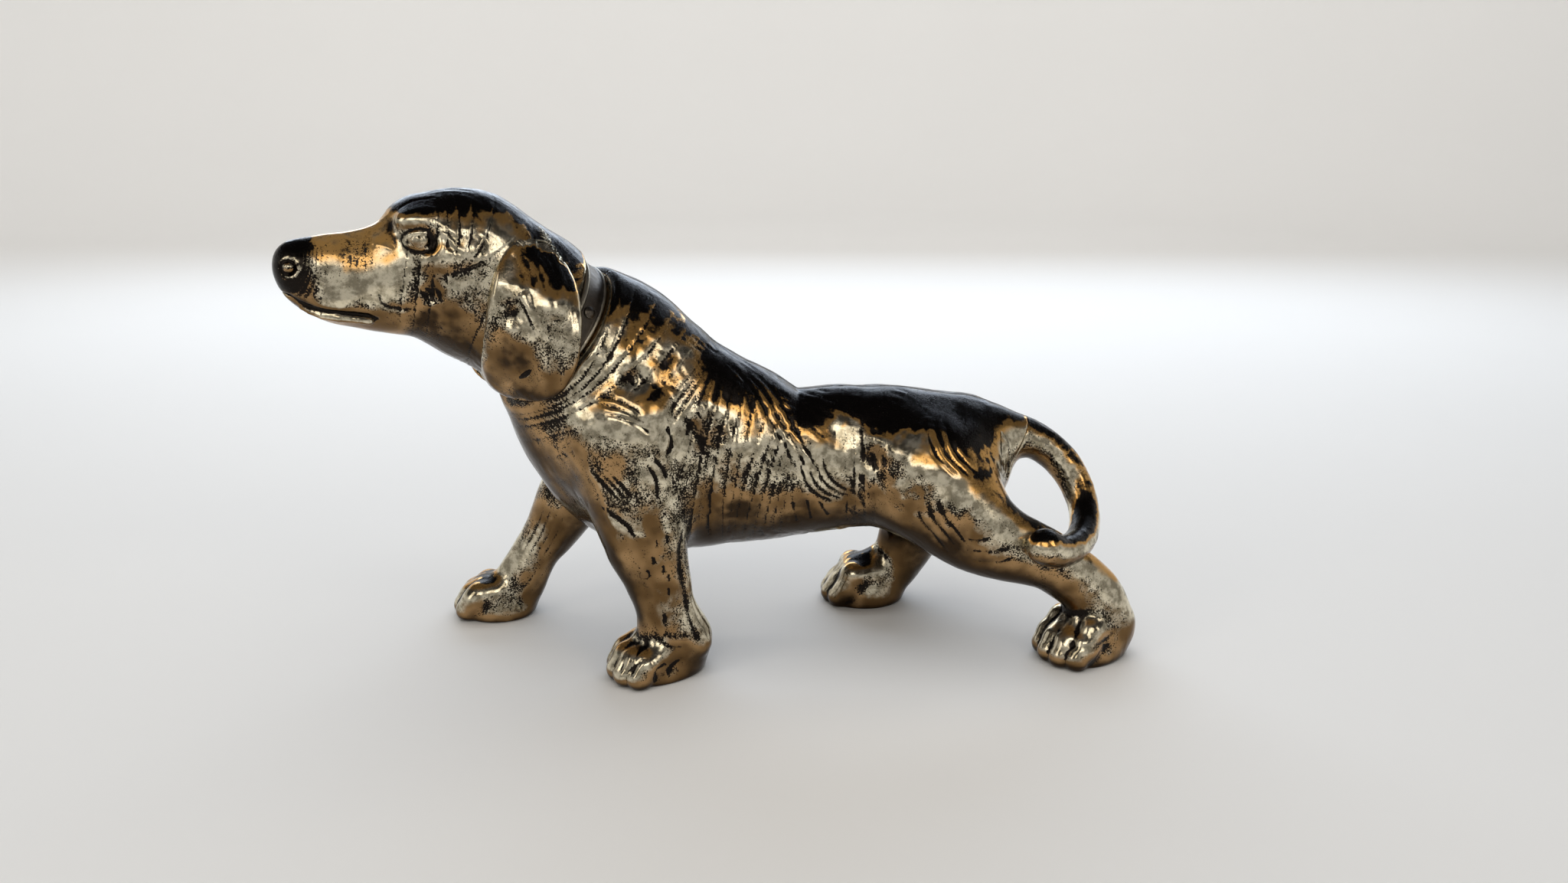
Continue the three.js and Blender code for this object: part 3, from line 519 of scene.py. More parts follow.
def ear_field(side):
    level = ear_levels(side)

    def field(p):
        under, a, b, l = ear_under(p, side)
        high = np.clip(b / EAR_LENGTH, -1, 1)
        depth = EAR_DEPTH * (1 - 0.2 * np.maximum(high, 0) ** 2)
        q = (np.abs(a / depth) ** 2.4 + np.abs(b / EAR_LENGTH) ** 2.4) ** (1 / 2.4)
        edge = (q - 1) * 16 * np.minimum(1, 0.6 + 0.4 * q)
        i, j = (np.clip(v + EAR_REACH, 0, 2 * EAR_REACH - 0.001) for v in (a, b))
        i0, j0 = i.astype(int), j.astype(int)
        s, t = i - i0, j - j0
        out = ((1 - s) * ((1 - t) * level[i0, j0] + t * level[i0, j0 + 1])
               + s * ((1 - t) * level[i0 + 1, j0] + t * level[i0 + 1, j0 + 1]))
        dome = np.sqrt(np.maximum(1 - q * q, 0))
        root = np.clip((high - 0.35) / 0.6, 0, 1)
        thick = (2.2 - 2.2 * root) + (2.4 - 1.2 * root) * dome
        d = common(edge, (l - out - thick) * 0.93, 2.2)
        return np.maximum(np.maximum(d, 0.25 - under), 8 - l)

    return field


def strap_field(p):
    along, away = along_neck(p)
    past_edge = np.abs(along) - STRAP_WIDTH / 2
    band = np.maximum(past_edge, away - COLLAR_RADIUS)
    rim = np.hypot(past_edge + 0.75, away - COLLAR_RADIUS - 0.05) - 0.72
    return np.maximum(blend(band, rim, 0.5), COLLAR_RADIUS - STRAP_THICK - away)


def stud_direction(angle):
    a = radians(angle)
    return NECK_TOP * cos(a) + NECK_LEFT * sin(a)


def stud_field(angle):
    out = stud_direction(angle)

    def field(p):
        up, away = along_axis(p, out)
        rise = up - COLLAR_RADIUS - 0.05
        dome = np.sqrt(away ** 2 + (rise * 1.25) ** 2) - STUD_RADIUS * 0.86
        foot = np.hypot(away - STUD_RADIUS + 0.45, rise - 0.25) - 0.42
        plate = np.maximum(away - STUD_RADIUS + 0.4, np.abs(rise - 0.2) - 0.3)
        return np.maximum(blend(blend(dome, foot, 0.3), plate, 0.2), -rise)

    return field


# Meshing
CHUNK = 16384
CORNERS = [(i, j, k) for i in (0, 1) for j in (0, 1) for k in (0, 1)]


def shifted(grid, n):
    return [grid[i:i + n[0], j:j + n[1], k:k + n[2]] for i, j, k in CORNERS]


def evaluate(field, points):
    out = np.empty(len(points), np.float32)

    def run(i):
        p = points[i:i + CHUNK].astype(np.float32)
        out[i:i + CHUNK] = field(tuple(p.T))

    with ThreadPoolExecutor(4) as pool:
        list(pool.map(run, range(0, len(points), CHUNK)))
    return out


def sampled(field, low, counts, cell, block=8):
    """Field values on a grid, worked out only in the blocks that the surface passes near"""
    coarse = [c // block + 2 for c in counts]
    lattice = np.stack(np.meshgrid(*[np.arange(c) for c in coarse], indexing="ij"), -1).reshape(-1, 3)
    rough = evaluate(field, low + lattice * (block * cell)).reshape(coarse)
    near = np.abs(rough) < block * cell * 1.3
    n = [c - 1 for c in coarse]
    blocks = np.argwhere(np.any(shifted(near, n), axis=0)) * block
    nearby = np.ix_(*[np.arange(c) // block for c in counts])
    values = np.where(rough < 0, np.float32(UNCUT), np.float32(-UNCUT))[nearby]
    steps = np.stack(np.meshgrid(*[np.arange(block)] * 3, indexing="ij"), -1).reshape(-1, 3)
    index = (blocks[:, None] + steps).reshape(-1, 3)
    index = index[(index < counts).all(1)]
    values[tuple(index.T)] = evaluate(field, low + index * cell)
    return values


def slopes(field, points, step=0.03):
    base = evaluate(field, points)
    grad = np.empty_like(points)
    for axis in range(3):
        moved = points.copy()
        moved[:, axis] += step
        grad[:, axis] = (evaluate(field, moved) - base) / step
    return base, grad


def surface(field, low, high, cell, fit=2):
    """Vertices, outward normals and quads of the zero surface of a field"""
    low = np.asarray(low, float)
    counts = [int(np.ceil((h - l) / cell)) + 1 for l, h in zip(low, high)]
    values = sampled(field, low, counts, cell)
    inside = values < 0
    n = np.array(counts) - 1
    full = sum(part.astype(np.int8) for part in shifted(inside, n))
    cells = np.argwhere((full > 0) & (full < 8))
    total = np.zeros((len(cells), 3))
    hits = np.zeros(len(cells))
    for start in CORNERS:
        for axis in range(3):
            if start[axis]:
                continue
            end = list(start)
            end[axis] = 1
            a = values[tuple((cells + start).T)]
            b = values[tuple((cells + end).T)]
            crossed = (a < 0) != (b < 0)
            at = np.tile(np.array(start, float), (len(cells), 1))
            at[:, axis] = np.where(crossed, a / np.where(crossed, a - b, 1), 0)
            total += at * crossed[:, None]
            hits += crossed
    points = low + (cells + total / hits[:, None]) * cell
    for _ in range(fit):
        base, grad = slopes(field, points)
        size = np.maximum((grad ** 2).sum(1), 0.05)
        points = points + np.clip(-base / size, -cell, cell)[:, None] * grad
    number = np.full(n, -1, np.int32)
    number[tuple(cells.T)] = np.arange(len(cells))
    quads = []
    for axis in range(3):
        u, v = (axis + 1) % 3, (axis + 2) % 3
        a = [slice(0, c) for c in n]
        a[u], a[v] = slice(1, n[u]), slice(1, n[v])
        b = list(a)
        b[axis] = slice(1, n[axis] + 1)
        first, second = inside[tuple(a)], inside[tuple(b)]
        edge = np.argwhere(first != second)
        filled = first[tuple(edge.T)]
        edge[:, [u, v]] += 1
        ring = []
        for du, dv in ((0, 0), (1, 0), (1, 1), (0, 1)):
            at = edge.copy()
            at[:, u] -= du
            at[:, v] -= dv
            ring.append(number[tuple(at.T)])
        quad = np.stack(ring, 1)
        quad[~filled] = quad[~filled][:, ::-1]
        quads.append(quad)
    points, faces = largest(points, np.concatenate(quads))
    return points, normals_of(points, faces), faces


def largest(points, faces):
    """The largest connected part of a mesh"""
    label = np.arange(len(points))
    a, b = faces.ravel(), np.roll(faces, -1, axis=1).ravel()
    while True:
        low = np.minimum(label[a], label[b])
        fresh = label.copy()
        np.minimum.at(fresh, a, low)
        np.minimum.at(fresh, b, low)
        fresh = fresh[fresh]
        if (fresh == label).all():
            break
        label = fresh
    names, sizes = np.unique(label, return_counts=True)
    keep = label == names[sizes.argmax()]
    number = np.cumsum(keep) - 1
    return points[keep], number[faces[keep[faces[:, 0]]]]


def normals_of(points, faces):
    a, b, c, d = (points[faces[:, i]] for i in range(4))
    face = np.cross(c - a, d - b)
    total = np.zeros_like(points)
    for i in range(4):
        for axis in range(3):
            total[:, axis] += np.bincount(faces[:, i], face[:, axis], len(points))
    return unit(total)


class Net:
    """Neighbours of each vertex, for averages over them"""

    def __init__(self, count, faces):
        self.a = faces.ravel()
        self.b = np.roll(faces, -1, axis=1).ravel()
        self.count = count
        links = np.bincount(self.a, minlength=count) + np.bincount(self.b, minlength=count)
        self.links = np.maximum(links, 1)

    def smooth(self, values, rounds):
        columns = values.reshape(self.count, -1).copy()
        for _ in range(rounds):
            for i in range(columns.shape[1]):
                c = columns[:, i]
                sums = np.bincount(self.a, c[self.b], self.count) + np.bincount(self.b, c[self.a], self.count)
                columns[:, i] = 0.5 * c + 0.5 * sums / self.links
        return columns.reshape(values.shape)


# Seeded noise values on a repeating lattice, turned so that its lines don't show
LATTICE = np.random.default_rng(7).uniform(-1, 1, (32, 32, 32)).astype(np.float32)
LATTICE_TURN = np.linalg.qr(np.random.default_rng(3).normal(size=(3, 3)))[0]


def noise(points, size, offset=0.0):
    q = points @ LATTICE_TURN / size + offset
    base = np.floor(q).astype(np.int64)
    t = q - base
    t = t * t * (3 - 2 * t)
    total = 0
    for i, j, k in CORNERS:
        weight = (t[:, 0] if i else 1 - t[:, 0]) * (t[:, 1] if j else 1 - t[:, 1])
        weight = weight * (t[:, 2] if k else 1 - t[:, 2])
        total = total + weight * LATTICE[(base[:, 0] + i) & 31, (base[:, 1] + j) & 31, (base[:, 2] + k) & 31]
    return total


def waves(points, rows):
    return sum(height * noise(points, size, offset) for height, size, offset in rows)


# Chasing, placed by pixels of the picture and mirrored; strokes come out wider and lower than listed
STROKE_WIDTH = 1.5
STROKE_HEIGHT = 0.6


def mirrored(points, on_head):
    if not on_head:
        return points * (1, -1, 1)
    f, l, u = head_local(points.T)
    return np.stack(head_point(f, -l, u), 1)


def repeated(stroke, step, count):
    """A stroke and its copies, each a step of pixels further"""
    size, height, *pixels = stroke
    return [(size, height, *[(x + step[0] * i, y + step[1] * i) for x, y in pixels]) for i in range(count)]


def nearest(points, spots):
    tree = KDTree(len(spots))
    for i, spot in enumerate(spots):
        tree.insert(spot, i)
    tree.balance()
    found = [tree.find(p) for p in points]
    return np.array([f[1] for f in found]), np.array([f[2] for f in found])


def stroke_spots(form, strokes, on_head=False, both_sides=True):
    """Close-set spots along strokes: place, half width and height"""
    at = iter(picks(form, [pixel for stroke in strokes for pixel in stroke[2:]]))
    spots = []
    for size, height, *pixels in strokes:
        path = spline([next(at) for _ in pixels], 8)
        rows = []
        for a, b, share in zip(path, path[1:], np.linspace(0, 1, len(path))):
            taper = min(1, min(share, 1 - share) * 5 + 0.25)
            half = STROKE_WIDTH * size * (0.6 + 0.4 * taper)
            for t in np.arange(0, 1, 0.4 / max(np.linalg.norm(b - a), 0.4)):
                rows.append((*(a + (b - a) * t), half, STROKE_HEIGHT * height * taper))
        rows = np.array(rows)
        if both_sides:
            far = np.column_stack([mirrored(rows[:, :3], on_head), rows[:, 3:]])
            spots.append(far[far[:, 1] > (-99 if on_head else -0.5)])
            rows = rows[rows[:, 1] < (99 if on_head else 0.5)]
        spots.append(rows)
    return np.concatenate(spots)


def pressed(points, spots):
    """Height that the nearest stroke gives each point"""
    reach = spots[:, 3].max()
    low, high = spots[:, :3].min(0) - reach, spots[:, :3].max(0) + reach
    amount = np.zeros(len(points))
    close = np.where(((points > low) & (points < high)).all(1))[0]
    if len(close):
        index, away = nearest(points[close], spots[:, :3])
        amount[close] = spots[index, 4] * ramp(1 - away / spots[index, 3], 0, 1)
    return amount


def swollen(form, points, swells, on_head=False):
    amount = np.zeros(len(points))
    for at, (_, _, radius, height) in zip(picks(form, [swell[:2] for swell in swells]), swells):
        for centre in (at, mirrored(at[None], on_head)[0]):
            share = np.clip(1 - ((points - centre) ** 2).sum(1) / radius ** 2, 0, 1)
            amount += height * share * share
    return amount


class Flow:
    """Direction of the hair, from angles set at pixels of the picture"""

    def __init__(self, form, arrows, on_head=False):
        tails = picks(form, [(x, y) for x, y, _ in arrows])
        tips = picks(form, [(x + 6 * cos(radians(a)), y - 6 * sin(radians(a))) for x, y, a in arrows])
        far_tails = mirrored(tails, on_head)
        self.at = np.concatenate([tails, far_tails])
        self.way = unit(np.concatenate([tips - tails, mirrored(tips, on_head) - far_tails]))

    def __call__(self, points, normals):
        out = np.zeros_like(points)
        for at, way in zip(self.at, self.way):
            away = ((points - at) ** 2).sum(1)
            out += (np.exp(-away / 250) + 20 / (away + 400) ** 1.5)[:, None] * way
        out = unit(out - (out * normals).sum(1, keepdims=True) * normals)
        turn = (0.6 * noise(points, 7.0, 5.3))[:, None]
        return out * np.cos(turn) + np.cross(normals, out) * np.sin(turn)


def hair(points, way, rows):
    """Noise drawn out along the hair, from rows of height, size, reach and offset"""
    out = 0
    for height, size, reach, offset in rows:
        total = 0
        for k in np.linspace(-reach, reach, 9):
            total = total + noise(points + way * k, size, offset)
        out = out + height * (total / total.std())
    return out


def chased(field, flow, points, normals):
    """Spots of short curved strokes in groups of three that follow the hair"""
    seed, count, length, size, depth = RANDOM_STROKES
    rng = np.random.default_rng(seed)
    chosen = rng.choice(len(points), count)
    start, normal = points[chosen], normals[chosen]
    way = flow(start, normal)
    side = np.cross(normal, way)
    spots = []
    for lane, share_kept in enumerate((1.0, 0.75, 0.45)):
        at = start + side * (lane * 2.2 * size) + way * rng.uniform(-1.5, 1.5, (count, 1))
        reach = length * rng.uniform(0.5, 1.2, count)
        keep = rng.uniform(0, 1, count) < share_kept
        bend = rng.uniform(-0.07, 0.07, (count, 1))
        heading = way
        for step in np.arange(0, length * 1.2, 0.5):
            base, grad = slopes(field, at)
            slope = unit(grad)
            at = at - slope * base[:, None]
            share = step / reach
            taper = np.clip(np.minimum(share * 5 + 0.3, (1 - share) * 2.5), 0, 1)
            rows = np.column_stack([at, size * (0.55 + 0.45 * taper), -depth * taper])
            spots.append(rows[keep & (share < 1)])
            heading = heading + np.cross(slope, heading) * bend
            heading = unit(heading - (heading * slope).sum(1, keepdims=True) * slope)
            at = at + heading * 0.5
    return np.concatenate(spots)


# Seed, number, length, half width and depth of the strokes strewn over the torso
RANDOM_STROKES = (3, 260, 9, 1.8, 0.22)
# Hair is height, size, reach and offset; waves are height, size and offset
BODY_HAIR = [(0.032, 1.8, 5, 3.1), (0.01, 0.9, 2.5, 9.7)]
HEAD_HAIR = [(0.035, 1.6, 4, 3.1), (0.01, 0.8, 2, 9.7)]
EAR_HAIR = [(0.04, 1.6, 5, 3.1)]
BODY_WAVES = [(0.45, 14, 2.2), (0.22, 6, 7.7)]
HEAD_WAVES = [(0.2, 9, 2.2)]
EAR_WAVES = [(0.25, 8, 2.2)]
TAIL_WAVES = [(0.12, 3, 1.1), (0.06, 1.3, 4.1)]
# Strokes are half width, height and pixels; swellings and painted brown reflection patches are pixel, radius
# and height;
# arrows are pixel and angle
BODY_ARROWS = [
    (801, 527, -20), (787, 574, -50), (842, 600, -38), (883, 503, -65), (913, 564, -60), (975, 564, -85),
    (1015, 544, -55), (760, 470, -60), (815, 420, -40), (890, 450, -50), (1000, 520, -15), (1120, 530, -10),
    (1220, 575, -45), (1240, 615, -50), (1170, 645, -45), (1090, 610, -60), (1220, 690, -55), (1290, 710, 0),
    (1040, 665, -80), (960, 655, -75), (800, 650, -48), (860, 620, -60), (865, 720, -85), (840, 780, -85),
    (870, 830, -60), (1370, 770, -40), (1420, 800, -80), (700, 700, -112), (650, 770, -120), (730, 620, -60),
    (1150, 700, -115), (1090, 750, -150), (720, 580, -50), (1300, 560, -30),
]
BODY_STROKES = [
    (2.6, -0.7, (881, 435), (873, 466), (862, 491), (854, 511)),
    (2.2, -0.7, (891, 538), (903, 560), (918, 580), (922, 601), (915, 619)),
    (1.3, -0.7, (871, 556), (877, 576), (871, 595)),
    *repeated((1.2, -0.55, (950, 474), (985, 509), (1005, 544), (1026, 584), (1040, 611)), (15, 4), 3),
    *repeated((1.0, -0.5, (777, 515), (807, 523), (830, 535), (838, 544)), (5, 12), 3),
    (2.6, -0.5, (1122, 556), (1128, 586), (1140, 611), (1159, 635), (1171, 656), (1183, 668)),
    *repeated((1.1, -0.55, (1208, 556), (1216, 578), (1224, 596), (1240, 613), (1251, 623)), (13, -2), 3),
    *repeated((1.1, -0.55, (1198, 658), (1204, 680), (1220, 700), (1236, 721)), (14, -4), 3),
    *repeated((1.0, -0.5, (1073, 594), (1081, 619), (1096, 635), (1116, 643)), (-9, 4), 4),
    (1.0, -0.6, (1161, 637), (1169, 651), (1183, 664)),
    (1.1, -0.5, (1261, 704), (1277, 706), (1293, 704)),
    (1.1, -0.5, (1265, 719), (1295, 721), (1316, 717)),
    (1.1, -0.5, (1267, 731), (1306, 735), (1322, 729)),
    (1.0, -0.5, (1036, 653), (1040, 680)),
    (1.0, -0.5, (1053, 649), (1059, 676)),
    (1.0, -0.5, (1069, 653), (1081, 672)),
    *repeated((1.0, -0.5, (776, 618), (790, 632), (805, 649)), (10, 0), 3),
    (1.0, -0.6, (852, 598), (865, 611), (870, 625)),
    (1.0, -0.6, (845, 607), (856, 625), (859, 649)),
]
LEG_STROKES = [
    (1.4, 0.6, (763, 587), (771, 616), (783, 634), (792, 667), (801, 685), (818, 694), (836, 730), (845, 752),
     (856, 783), (863, 823), (865, 835)),
    (1.4, 0.7, (865, 833), (881, 838), (903, 837)),
    (1.5, -0.7, (892, 694), (888, 716), (890, 750), (897, 783), (905, 817), (917, 839), (928, 848)),
    (1.2, -0.9, (823, 850), (812, 872), (805, 884)),
    (1.2, -0.9, (850, 857), (832, 868), (823, 886)),
    (1.2, -0.9, (872, 866), (859, 877), (856, 890)),
    (0.9, -0.6, (892, 859), (876, 872), (874, 884)),
    (1.1, -0.6, (789, 663), (818, 685), (827, 698)),
    *[(0.9, -0.6, (x, y - 6), (x + 2, y), (x + 1, y + 6)) for x, y in
      [(870, 703), (856, 710), (852, 732), (865, 743), (872, 756), (845, 750), (872, 772), (867, 808)]],
    (1.2, 0.6, (744, 684), (729, 716), (698, 758), (681, 777)),
    *repeated((0.8, -0.4, (712, 660), (700, 690), (682, 722)), (9, 2), 4),
    (1.6, -0.8, (1384, 823), (1400, 842), (1430, 846), (1452, 828)),
]
BODY_SWELLS = [
    (825, 465, 9, 1.1), (855, 535, 8, 1.0), (970, 590, 11, 1.0), (1150, 575, 10, 1.0), (1235, 620, 9, 0.9),
    (830, 497, 7, -0.6), (925, 560, 9, -0.6), (1142, 594, 7, -0.7), (1168, 612, 7, -0.6),
    (1190, 635, 8, -0.5), (1060, 560, 9, 0.5), (900, 640, 9, 0.6), (922, 843, 6, 1.2),
    (1015, 600, 8, -0.4), (1095, 570, 7, -0.4),
]
# Painted brown reflections on the body
BODY_BROWN_REFLECTIONS = [
    (830, 497, 8, 1.0), (925, 560, 13, 1.2), (1142, 594, 9, 1.0), (1168, 612, 9, 1.0), (1195, 640, 12, 1.0),
    (1250, 690, 16, 0.9), (960, 655, 14, 1.0), (1040, 665, 12, 0.9), (850, 690, 14, 0.8), (1110, 555, 9, 0.7),
    (1190, 570, 10, 0.8), (800, 610, 8, 0.7),
]
HEAD_ARROWS = [
    (440, 330, 170), (450, 390, 170), (540, 400, -20), (590, 330, -30), (600, 400, -60), (560, 270, 0),
    (660, 280, -40), (720, 330, -55), (600, 460, -30), (640, 500, -50),
]
HEAD_STROKES = [
    (1.3, -0.9, (559, 296), (575, 309), (590, 324), (608, 337)),
    (1.0, -0.5, (566, 293), (584, 304), (600, 318)),
    (0.7, -0.4, (560, 326), (572, 333), (588, 338)),
    (0.9, -0.5, (493, 380), (503, 399), (543, 405)),
    *repeated((1.0, -0.4, (546, 378), (554, 386), (558, 398)), (9, -2), 3),
    (0.7, 0.35, (627, 302), (633, 309), (637, 317)),
    (0.7, 0.3, (482, 317), (498, 321), (515, 327)),
    (0.9, -0.4, (520, 275), (540, 262), (566, 258)),
]
HEAD_SWELLS = [(498, 320, 5, 0.5), (509, 292, 5, -0.7), (590, 410, 8, 0.8), (580, 306, 6, 0.7),
               (565, 383, 5, -1.0), (430, 322, 9, 0.3), (600, 350, 6, -0.5)]
# Painted brown reflections on the head, also used for the tail
HEAD_BROWN_REFLECTIONS = [(570, 410, 12, 1.1), (470, 400, 8, 0.5), (600, 460, 12, 0.9)]
EAR_ARROWS = [(660, 350, -80), (700, 350, -70), (670, 440, -95), (720, 430, -85), (690, 500, -60)]
EAR_STROKES = [
    (1.0, -0.5, (640, 407), (667, 394), (682, 400), (698, 436)),
    (1.8, 0.8, (682, 380), (690, 402), (702, 426)),
    *repeated((0.9, -0.3, (668, 330), (678, 350), (684, 372)), (14, 4), 3),
]
EAR_SWELLS = [(669, 412, 5.5, -1.5), (690, 491, 8, -0.8), (722, 400, 7, 0.6), (700, 345, 7, 0.5)]
# Painted brown reflections on the ears
EAR_BROWN_REFLECTIONS = [(675, 460, 9, 1.1), (665, 430, 7, 1.0), (690, 500, 9, 0.9)]


# Rounds of averaging for fine hollows, wide hollows and the way the surface faces
FINE = 5
WIDE = 24
FACING = 12


def skin(distance):
    """1 on the surface of a form and 0 off it"""
    return 1 - ramp(np.abs(distance), 0.15, 0.6)


def apply(free, points, normals, amount):
    """Points moved along their normals, only where they lie on the free form and off the floor"""
    return points + normals * (amount * free * ramp(points[:, 2], 0.3, 1.5))[:, None]


def hollow(points, normals, net, rounds):
    return ((net.smooth(points, rounds) - points) * normals).sum(1)


def head_tones(points, cavity, reflection_facing, cloud):
    """Muzzle graded from a painted gold reflection on top to painted shade underneath, and a black nose"""
    f, _, u = head_local(points.T)
    muzzle = ramp(f, 34, 42) * (1 - ramp(f, 62, 66))
    # Painted gold reflection on top of the muzzle and painted shade under it
    graded = 0.12 + 0.38 * ramp(reflection_facing, -0.05, 0.4) - 0.4 * ramp(-reflection_facing, 0.1, 0.45)
    reflection_facing = reflection_facing + muzzle * (graded - reflection_facing)
    cavity = cavity + ramp(f + 1.5 * cloud, 62.5, 68) * ramp(u, -9, -4)
    return cavity, reflection_facing, cloud * (1 - 0.6 * muzzle), muzzle


def body_tones(points, normals, net, reflection_facing):
    height = points[:, 2]
    # Painted reflection and shade: the facing is lowered towards the bottom, which turns the legs and paws
    # brown and dark
    low = 0.15 * ramp(height, 60, 46) + 0.14 * ramp(height, 24, 14)
    # Painted shade on surfaces that face forwards, such as the chest front
    chest_shade = 0.34 * ramp(-net.smooth(normals[:, 0], FACING), 0.3, 0.8) * ramp(height, 12, 30)
    return reflection_facing - low - chest_shade


def tones(form, free, points, normals, net, brown_reflections, on_head):
    """Layers for the material: hollows for the patina, how much the surface faces up with painted brown
    reflections and shade taken off it, which picks the painted reflection and shade bands, and the muzzle's
    mask for its painted gold reflection
    """
    fine = hollow(points, normals, net, FINE)
    wide = hollow(points, normals, net, WIDE)
    near_free = net.smooth(free, FACING)
    cavity = np.clip(fine * 4.2 + wide * 2.2, -1, 1) * ramp(near_free, 0.5, 0.98)
    reflection_facing = net.smooth(normals[:, 2] * free, FACING) / np.maximum(near_free, 0.02)
    cloud = noise(points, 12, 4.4)
    painted_gold_muzzle = np.zeros(len(points))
    if on_head:
        cavity, reflection_facing, cloud, painted_gold_muzzle = head_tones(points, cavity, reflection_facing, cloud)
    else:
        reflection_facing = body_tones(points, normals, net, reflection_facing)
    reflection_facing += 0.12 * cloud + 0.06 * noise(points, 3, 1.9)
    # Painted brown reflections: the listed patches lower the facing so that they take the brown reflection
    # colours
    reflected_brown = swollen(form, points, brown_reflections, on_head)
    reflected_brown *= 1 + 0.9 * noise(points, 4.5, 0.7) + 0.5 * noise(points, 1.8, 2.9)
    reflection_facing -= 0.36 * np.clip(reflected_brown, 0, 1)
    return {"cavity": cavity, "reflection_facing": reflection_facing, "painted_gold_muzzle": painted_gold_muzzle}


def add_object(name, points, faces, material):
    mesh = bpy.data.meshes.new(name)
    mesh.from_pydata(points, [], faces)
    mesh.validate()
    mesh.shade_smooth()
    mesh.materials.append(material)
    thing = bpy.data.objects.new(name, mesh)
    bpy.context.scene.collection.objects.link(thing)
    return thing


def add_piece(name, node, material, points, faces, layers):
    thing = add_object(name, ((points + SHIFT) / MM).tolist(), faces.tolist(), material)
    for layer, values in layers.items():
        attribute = thing.data.attributes.new(layer, "FLOAT", "POINT")
        attribute.data.foreach_set("value", values.astype(np.float32))
    if node.startswith("body"):
        close_seam(thing)
    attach(thing, "root")
    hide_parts(node)


# Materials
class Nodes:
    def __init__(self, name):
        self.material = bpy.data.materials.new(name)
        self.material.use_nodes = True
        self.tree = self.material.node_tree
        self.shader = self.tree.nodes["Principled BSDF"]
        self.where = self.add("ShaderNodeTexCoord").outputs["Object"]

    def add(self, kind, inputs=None, **settings):
        node = self.tree.nodes.new(kind)
        for key, value in settings.items():
            setattr(node, key, value)
        for key, value in (inputs or {}).items():
            self.link(value, node.inputs[key])
        return node

    def link(self, value, socket):
        if isinstance(value, bpy.types.NodeSocket):
            self.tree.links.new(value, socket)
        else:
            socket.default_value = value

    def set(self, name, value):
        self.link(value, self.shader.inputs[name])

    def math(self, operation, a, b=0.0):
        return self.add("ShaderNodeMath", {0: a, 1: b}, operation=operation).outputs[0]

    def sum(self, *terms):
        total = None
        for value, weight in terms:
            term = self.math("MULTIPLY", value, weight)
            total = term if total is None else self.math("ADD", total, term)
        return total

    def ramp(self, value, low, high, to_low=0.0, to_high=1.0):
        inputs = {"Value": value, "From Min": low, "From Max": high, "To Min": to_low, "To Max": to_high}
        return self.add("ShaderNodeMapRange", inputs, clamp=True, interpolation_type="SMOOTHSTEP").outputs[0]

    def mix(self, factor, a, b):
        return self.add("ShaderNodeMix", {0: factor, 6: a, 7: b}, data_type="RGBA").outputs[2]

    def noise(self, scale, detail=3.0, rough=0.55):
        inputs = {"Vector": self.where, "Scale": scale, "Detail": detail, "Roughness": rough}
        return self.add("ShaderNodeTexNoise", inputs).outputs[0]

    def layer(self, name):
        return self.add("ShaderNodeAttribute", attribute_name=name).outputs["Fac"]

    def bump(self, height, strength, distance):
        inputs = {"Height": height, "Strength": strength, "Distance": distance}
        self.set("Normal", self.add("ShaderNodeBump", inputs).outputs[0])


# Colours of the metal and its patina, and of the painted reflections and shade that facing up picks
BLACK_PATINA_AND_REFLECTION = (0.016, 0.013, 0.011, 1)
SHADED_UNDERSIDE_BROWN = (0.04, 0.024, 0.012, 1)
BROWN = (0.15, 0.086, 0.034, 1)
LIGHT_BROWN = (0.42, 0.26, 0.12, 1)
DULL_SILVER = (0.34, 0.295, 0.205, 1)
SILVER = (0.8, 0.72, 0.545, 1)
GOLD = (0.62, 0.35, 0.11, 1)
# Bands of facing up, from where a colour begins to where it is full: painted shade in dark brown underneath,
# painted brown reflection below the middle, the metal's silver in the middle, then painted gold reflection
# and painted black reflection on top
BROWN_BAND = (-0.68, -0.26)
SILVER_BAND = (-0.24, 0.06)
GOLD_BAND = (0.34, 0.5)
DARK_TOP_REFLECTION_BAND = (0.42, 0.76)
EDGE_START = (-0.3, -0.12)
EDGE_END = (0.16, -0.04)
# Bands of the sums that turn to pits and to black; the black is patina in the hollows and painted black
# reflection on top
PIT_BAND = (0.545, 0.62)
BLACK_BAND = (0.45, 0.74)


